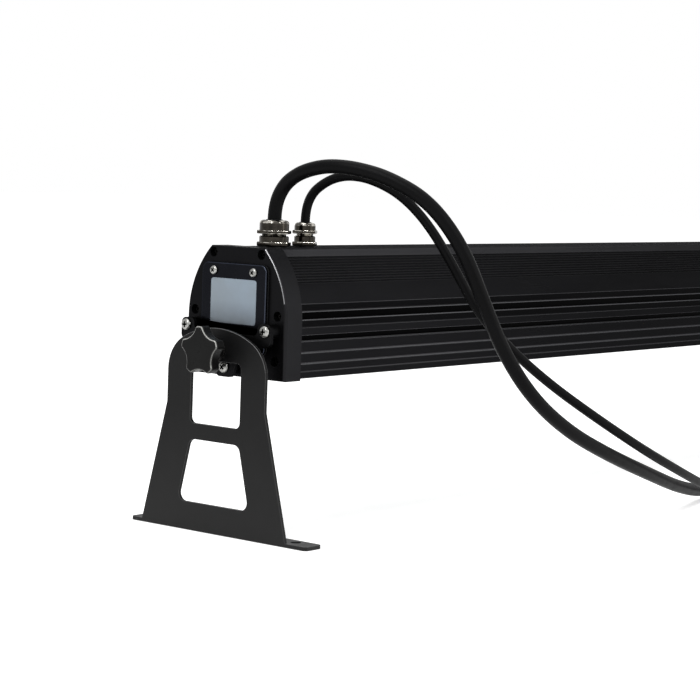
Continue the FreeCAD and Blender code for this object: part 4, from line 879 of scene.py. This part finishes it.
def hexagon(work, flats, low, high):
    corner = flats / 2 / cos(pi / 6)
    made = bmesh.ops.create_cone(
        work, cap_ends=True, cap_tris=False, segments=6, radius1=corner, radius2=corner, depth=high - low
    )["verts"]
    bmesh.ops.translate(work, verts=made, vec=(0, 0, (low + high) / 2))
    edges = list({edge for vert in made for edge in vert.link_edges})
    bmesh.ops.bevel(
        work, geom=edges, offset=glandShape["chamfer"], segments=2, profile=0.5, affect="EDGES", material=-1
    )


def threadProfile(radius, low, high):
    count = max(1, round((high - low) / glandShape["threadPitch"]))
    pitch = (high - low) / count
    points = []
    for number in range(count):
        points.append((radius, low + pitch * number))
        points.append((radius - glandShape["threadDeep"], low + pitch * (number + 0.5)))
    points.append((radius, high))
    return points


def dressGland(name, gland):
    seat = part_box(f"{name}_gland_washer")[1].z
    low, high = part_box(f"{name}_gland_nut")
    nutLow, top = low.z, high.z
    place = ((low.x + high.x) / 2, (low.y + high.y) / 2, 0)
    half = gland["round"] / 2
    rim = glandShape["rim"]
    steps = glandShape["steps"]
    flangeTop = seat + glandShape["flangeHigh"]
    bodyTop = nutLow - glandShape["neck"]
    work = bmesh.new()
    hexagon(work, gland["flats"], seat, flangeTop)
    shoulder = [(0, flangeTop - rim), (half, flangeTop - rim), (half, bodyTop - rim), (half - rim, bodyTop)]
    turned(work, shoulder + threadProfile(gland["thread"] / 2, bodyTop, nutLow) + [(0, nutLow)], steps)
    markSlopes(work, *glandShape["bodySlopes"], 2)
    bmesh.ops.translate(work, verts=work.verts, vec=place)
    stand(newPiece(f"{name}_gland_body_turned", work, "glands"), f"{name}_gland_body")

    hexTop = nutLow + glandShape["nutHigh"]
    bend = glandShape["capRound"]
    hole = gland["cable"] / 2 + glandShape["cableGap"]
    cap = [(0, hexTop - rim), (half, hexTop - rim), (half, top - bend)]
    for number in range(1, glandShape["capSteps"] + 1):
        turn = pi / 2 * number / glandShape["capSteps"]
        cap.append((half - bend + bend * cos(turn), top - bend + bend * sin(turn)))
    cap += [(hole + rim, top), (hole, top - rim), (hole, hexTop), (0, hexTop)]
    work = bmesh.new()
    hexagon(work, gland["flats"], nutLow, hexTop)
    turned(work, cap, steps)
    markSlopes(work, *glandShape["capSlopes"], 2)
    bmesh.ops.translate(work, verts=work.verts, vec=place)
    stand(newPiece(f"{name}_gland_nut_turned", work, "glands"), f"{name}_gland_nut")


for name, gland in glands.items():
    dressGland(name, gland)
print("glands turned")


# Plugs: ringed bend relief, ribbed grip and coupling ring round an open mouth
plugs = {
    "power": {"collar": 0.0095, "shell": 0.013, "mouth": 0.011, "collarLong": 0.016, "mouthDeep": 0.012},
    "signal": {"collar": 0.0065, "shell": 0.009, "mouth": 0.007, "collarLong": 0.012, "mouthDeep": 0.012},
}
plugShape = {
    "rim": 0.0006,
    "reliefRings": 4,
    "ringDeep": 0.0009,
    "gripRibs": 9,
    "ribDeep": 0.0006,
    "couplingLong": 0.016,
    "steps": 48,
    "pinSteps": 16,
    "tipSteps": 4,
    # shares of a ring's pitch and of its groove's depth
    "ringPoints": ((0.04, 1), (0.14, 0.3), (0.3, 0), (0.7, 0), (0.86, 0.3), (0.96, 1)),
}


def ringed(radius, low, high, count, deep):
    # rounded rings side by side, with grooves between
    pitch = (high - low) / count
    points = []
    for number in range(count):
        start = low + pitch * number
        points += [(radius - deep * down, start + pitch * along) for along, down in plugShape["ringPoints"]]
    return points


def dressPlug(name, plug):
    low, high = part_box(f"{name}_plug")
    rim = plugShape["rim"]
    collar, shell, mouth = plug["collar"], plug["shell"], plug["mouth"]
    grip = low.x + plug["collarLong"]
    ring = high.x - plugShape["couplingLong"]
    profile = [(0, low.x), (collar - rim, low.x)]
    profile += ringed(collar, low.x, grip - rim, plugShape["reliefRings"], plugShape["ringDeep"])
    profile += [(collar, grip), (shell - rim * 2, grip), (shell - rim, grip + rim)]
    ribs, ribDeep = plugShape["gripRibs"], plugShape["ribDeep"]
    profile += ringed(shell - rim, grip + rim * 3, ring - rim * 3, ribs, ribDeep)
    profile += [(shell - rim, ring - rim), (shell - rim, ring), (shell, ring + rim), (shell, high.x - rim)]
    profile += [(shell - rim, high.x), (mouth + rim / 2, high.x), (mouth, high.x - rim)]
    profile += [(mouth, high.x - plug["mouthDeep"]), (0, high.x - plug["mouthDeep"])]
    work = bmesh.new()
    turned(work, profile, plugShape["steps"])
    lieAlongX(work, (low.y + high.y) / 2, (low.z + high.z) / 2)
    body = newPiece(f"{name}_plug_moulded", work, "plugs")
    stand(body, f"{name}_plug")

    work = bmesh.new()
    for pinLow, pinHigh in solidBoxes(f"{name}_plug_pins"):
        radius = (pinHigh.z - pinLow.z) / 2
        one = bmesh.new()
        tip = [(0, pinLow.x), (radius, pinLow.x)]
        for step in range(plugShape["tipSteps"] + 1):
            turn = pi / 2 / plugShape["tipSteps"] * step
            tip.append((radius * cos(turn), pinHigh.x - radius + radius * sin(turn)))
        turned(one, tip, plugShape["pinSteps"])
        lieAlongX(one, (pinLow.y + pinHigh.y) / 2, (pinLow.z + pinHigh.z) / 2)
        single = bpy.data.meshes.new("pin")
        one.to_mesh(single)
        one.free()
        work.from_mesh(single)
        bpy.data.meshes.remove(single)
    pins = newPiece(f"{name}_plug_pins_turned", work, "plugs")
    stand(pins, f"{name}_plug_pins")
    return [body, pins]


plugPieces = {name: dressPlug(name, plug) for name, plug in plugs.items()}
print("plugs moulded")


# Cables: finished, riding with their bodies and standing in for the CAD cables
for name, thing in cableRuns.items():
    stand(thing, f"{name}_cable")
print("cables finished")


# Studio: pale floor and world, soft lamps
studio = {
    "floorSize": 24,
    "floorLow": 0.0003,
    "floorColour": (0.86, 0.86, 0.86),
    "floorRough": 0.9,
    "floorSpecular": 0.1,
    "floorGlow": (0.56, 0.68),  # near the lamp and far from it
    "glowFrom": (0.9, 4.5),  # metres
    "worldLevel": 0.42,
    # name, place, what it faces, size and watts
    "lamps": (
        ("key", (-2.6, -0.5, 2.0), (-0.45, 0, 0.15), (1.6, 1.6), 26),
        ("overhead", (0.1, 0.2, 2.6), (0, 0, 0.1), (2.4, 2.4), 32),
        ("fill", (0.9, -2.8, 1.0), (0, 0, 0.15), (2.0, 2.0), 18),
        ("nearStrip", (-1.95, -0.35, 2.0), (-0.5, 0, 0.2), (0.05, 1.5), 15),
        ("sideStrip", (-0.6, -2.2, 1.5), (-0.45, 0, 0.2), (0.05, 1.4), 12),
    ),
}


def seenByLens(tree, socket):
    # 1 where the lens sees it, straight, mirrored or through glass, and 0 where it only lights
    lightPath = tree.nodes.new("ShaderNodeLightPath")
    seen = lightPath.outputs["Is Camera Ray"]
    for ray in ("Is Glossy Ray", "Is Transmission Ray"):
        either = tree.nodes.new("ShaderNodeMath")
        either.operation = "MAXIMUM"
        tree.links.new(seen, either.inputs[0])
        tree.links.new(lightPath.outputs[ray], either.inputs[1])
        seen = either.outputs[0]
    tree.links.new(seen, socket)


work = bmesh.new()
bmesh.ops.create_grid(work, x_segments=1, y_segments=1, size=studio["floorSize"] / 2)
bmesh.ops.translate(work, verts=work.verts, vec=(0, 0, -studio["floorLow"]))
floor = newThing("floor", work)
floorFinish = newFinish(
    "floor_paper", studio["floorColour"], 0, studio["floorRough"], studio["floorSpecular"]
)
tree = floorFinish.node_tree
glow = tree.nodes.new("ShaderNodeMath")
glow.operation = "MULTIPLY"
seenByLens(tree, glow.inputs[0])
away = tree.nodes.new("ShaderNodeVectorMath")
away.operation = "LENGTH"
tree.links.new(tree.nodes.new("ShaderNodeTexCoord").outputs["Object"], away.inputs[0])
stronger = spreadTo(floorFinish, away.outputs["Value"], *studio["glowFrom"], *studio["floorGlow"])
tree.links.new(stronger, glow.inputs[1])
floorShader = tree.nodes["Principled BSDF"]
floorShader.inputs["Emission Color"].default_value = (1, 1, 1, 1)
tree.links.new(glow.outputs[0], floorShader.inputs["Emission Strength"])
floor.data.materials.append(floorFinish)

world = bpy.data.worlds.new("studio")
scene.world = world
world.use_nodes = True
tree = world.node_tree
level = tree.nodes.new("ShaderNodeMapRange")
level.inputs["To Min"].default_value = studio["worldLevel"]
level.inputs["To Max"].default_value = 1
seenByLens(tree, level.inputs["Value"])
background = tree.nodes["Background"]
background.inputs["Color"].default_value = (1, 1, 1, 1)
tree.links.new(level.outputs["Result"], background.inputs["Strength"])

for name, place, target, size, power in studio["lamps"]:
    lampData = bpy.data.lights.new(name, "AREA")
    lampData.shape = "ELLIPSE" if size[0] == size[1] else "RECTANGLE"
    lampData.size, lampData.size_y = size
    lampData.energy = power
    softLamp = bpy.data.objects.new(name, lampData)
    scene.collection.objects.link(softLamp)
    softLamp.location = place
    softLamp.rotation_euler = (Vector(target) - Vector(place)).to_track_quat("-Z", "Y").to_euler()
print("studio lit")
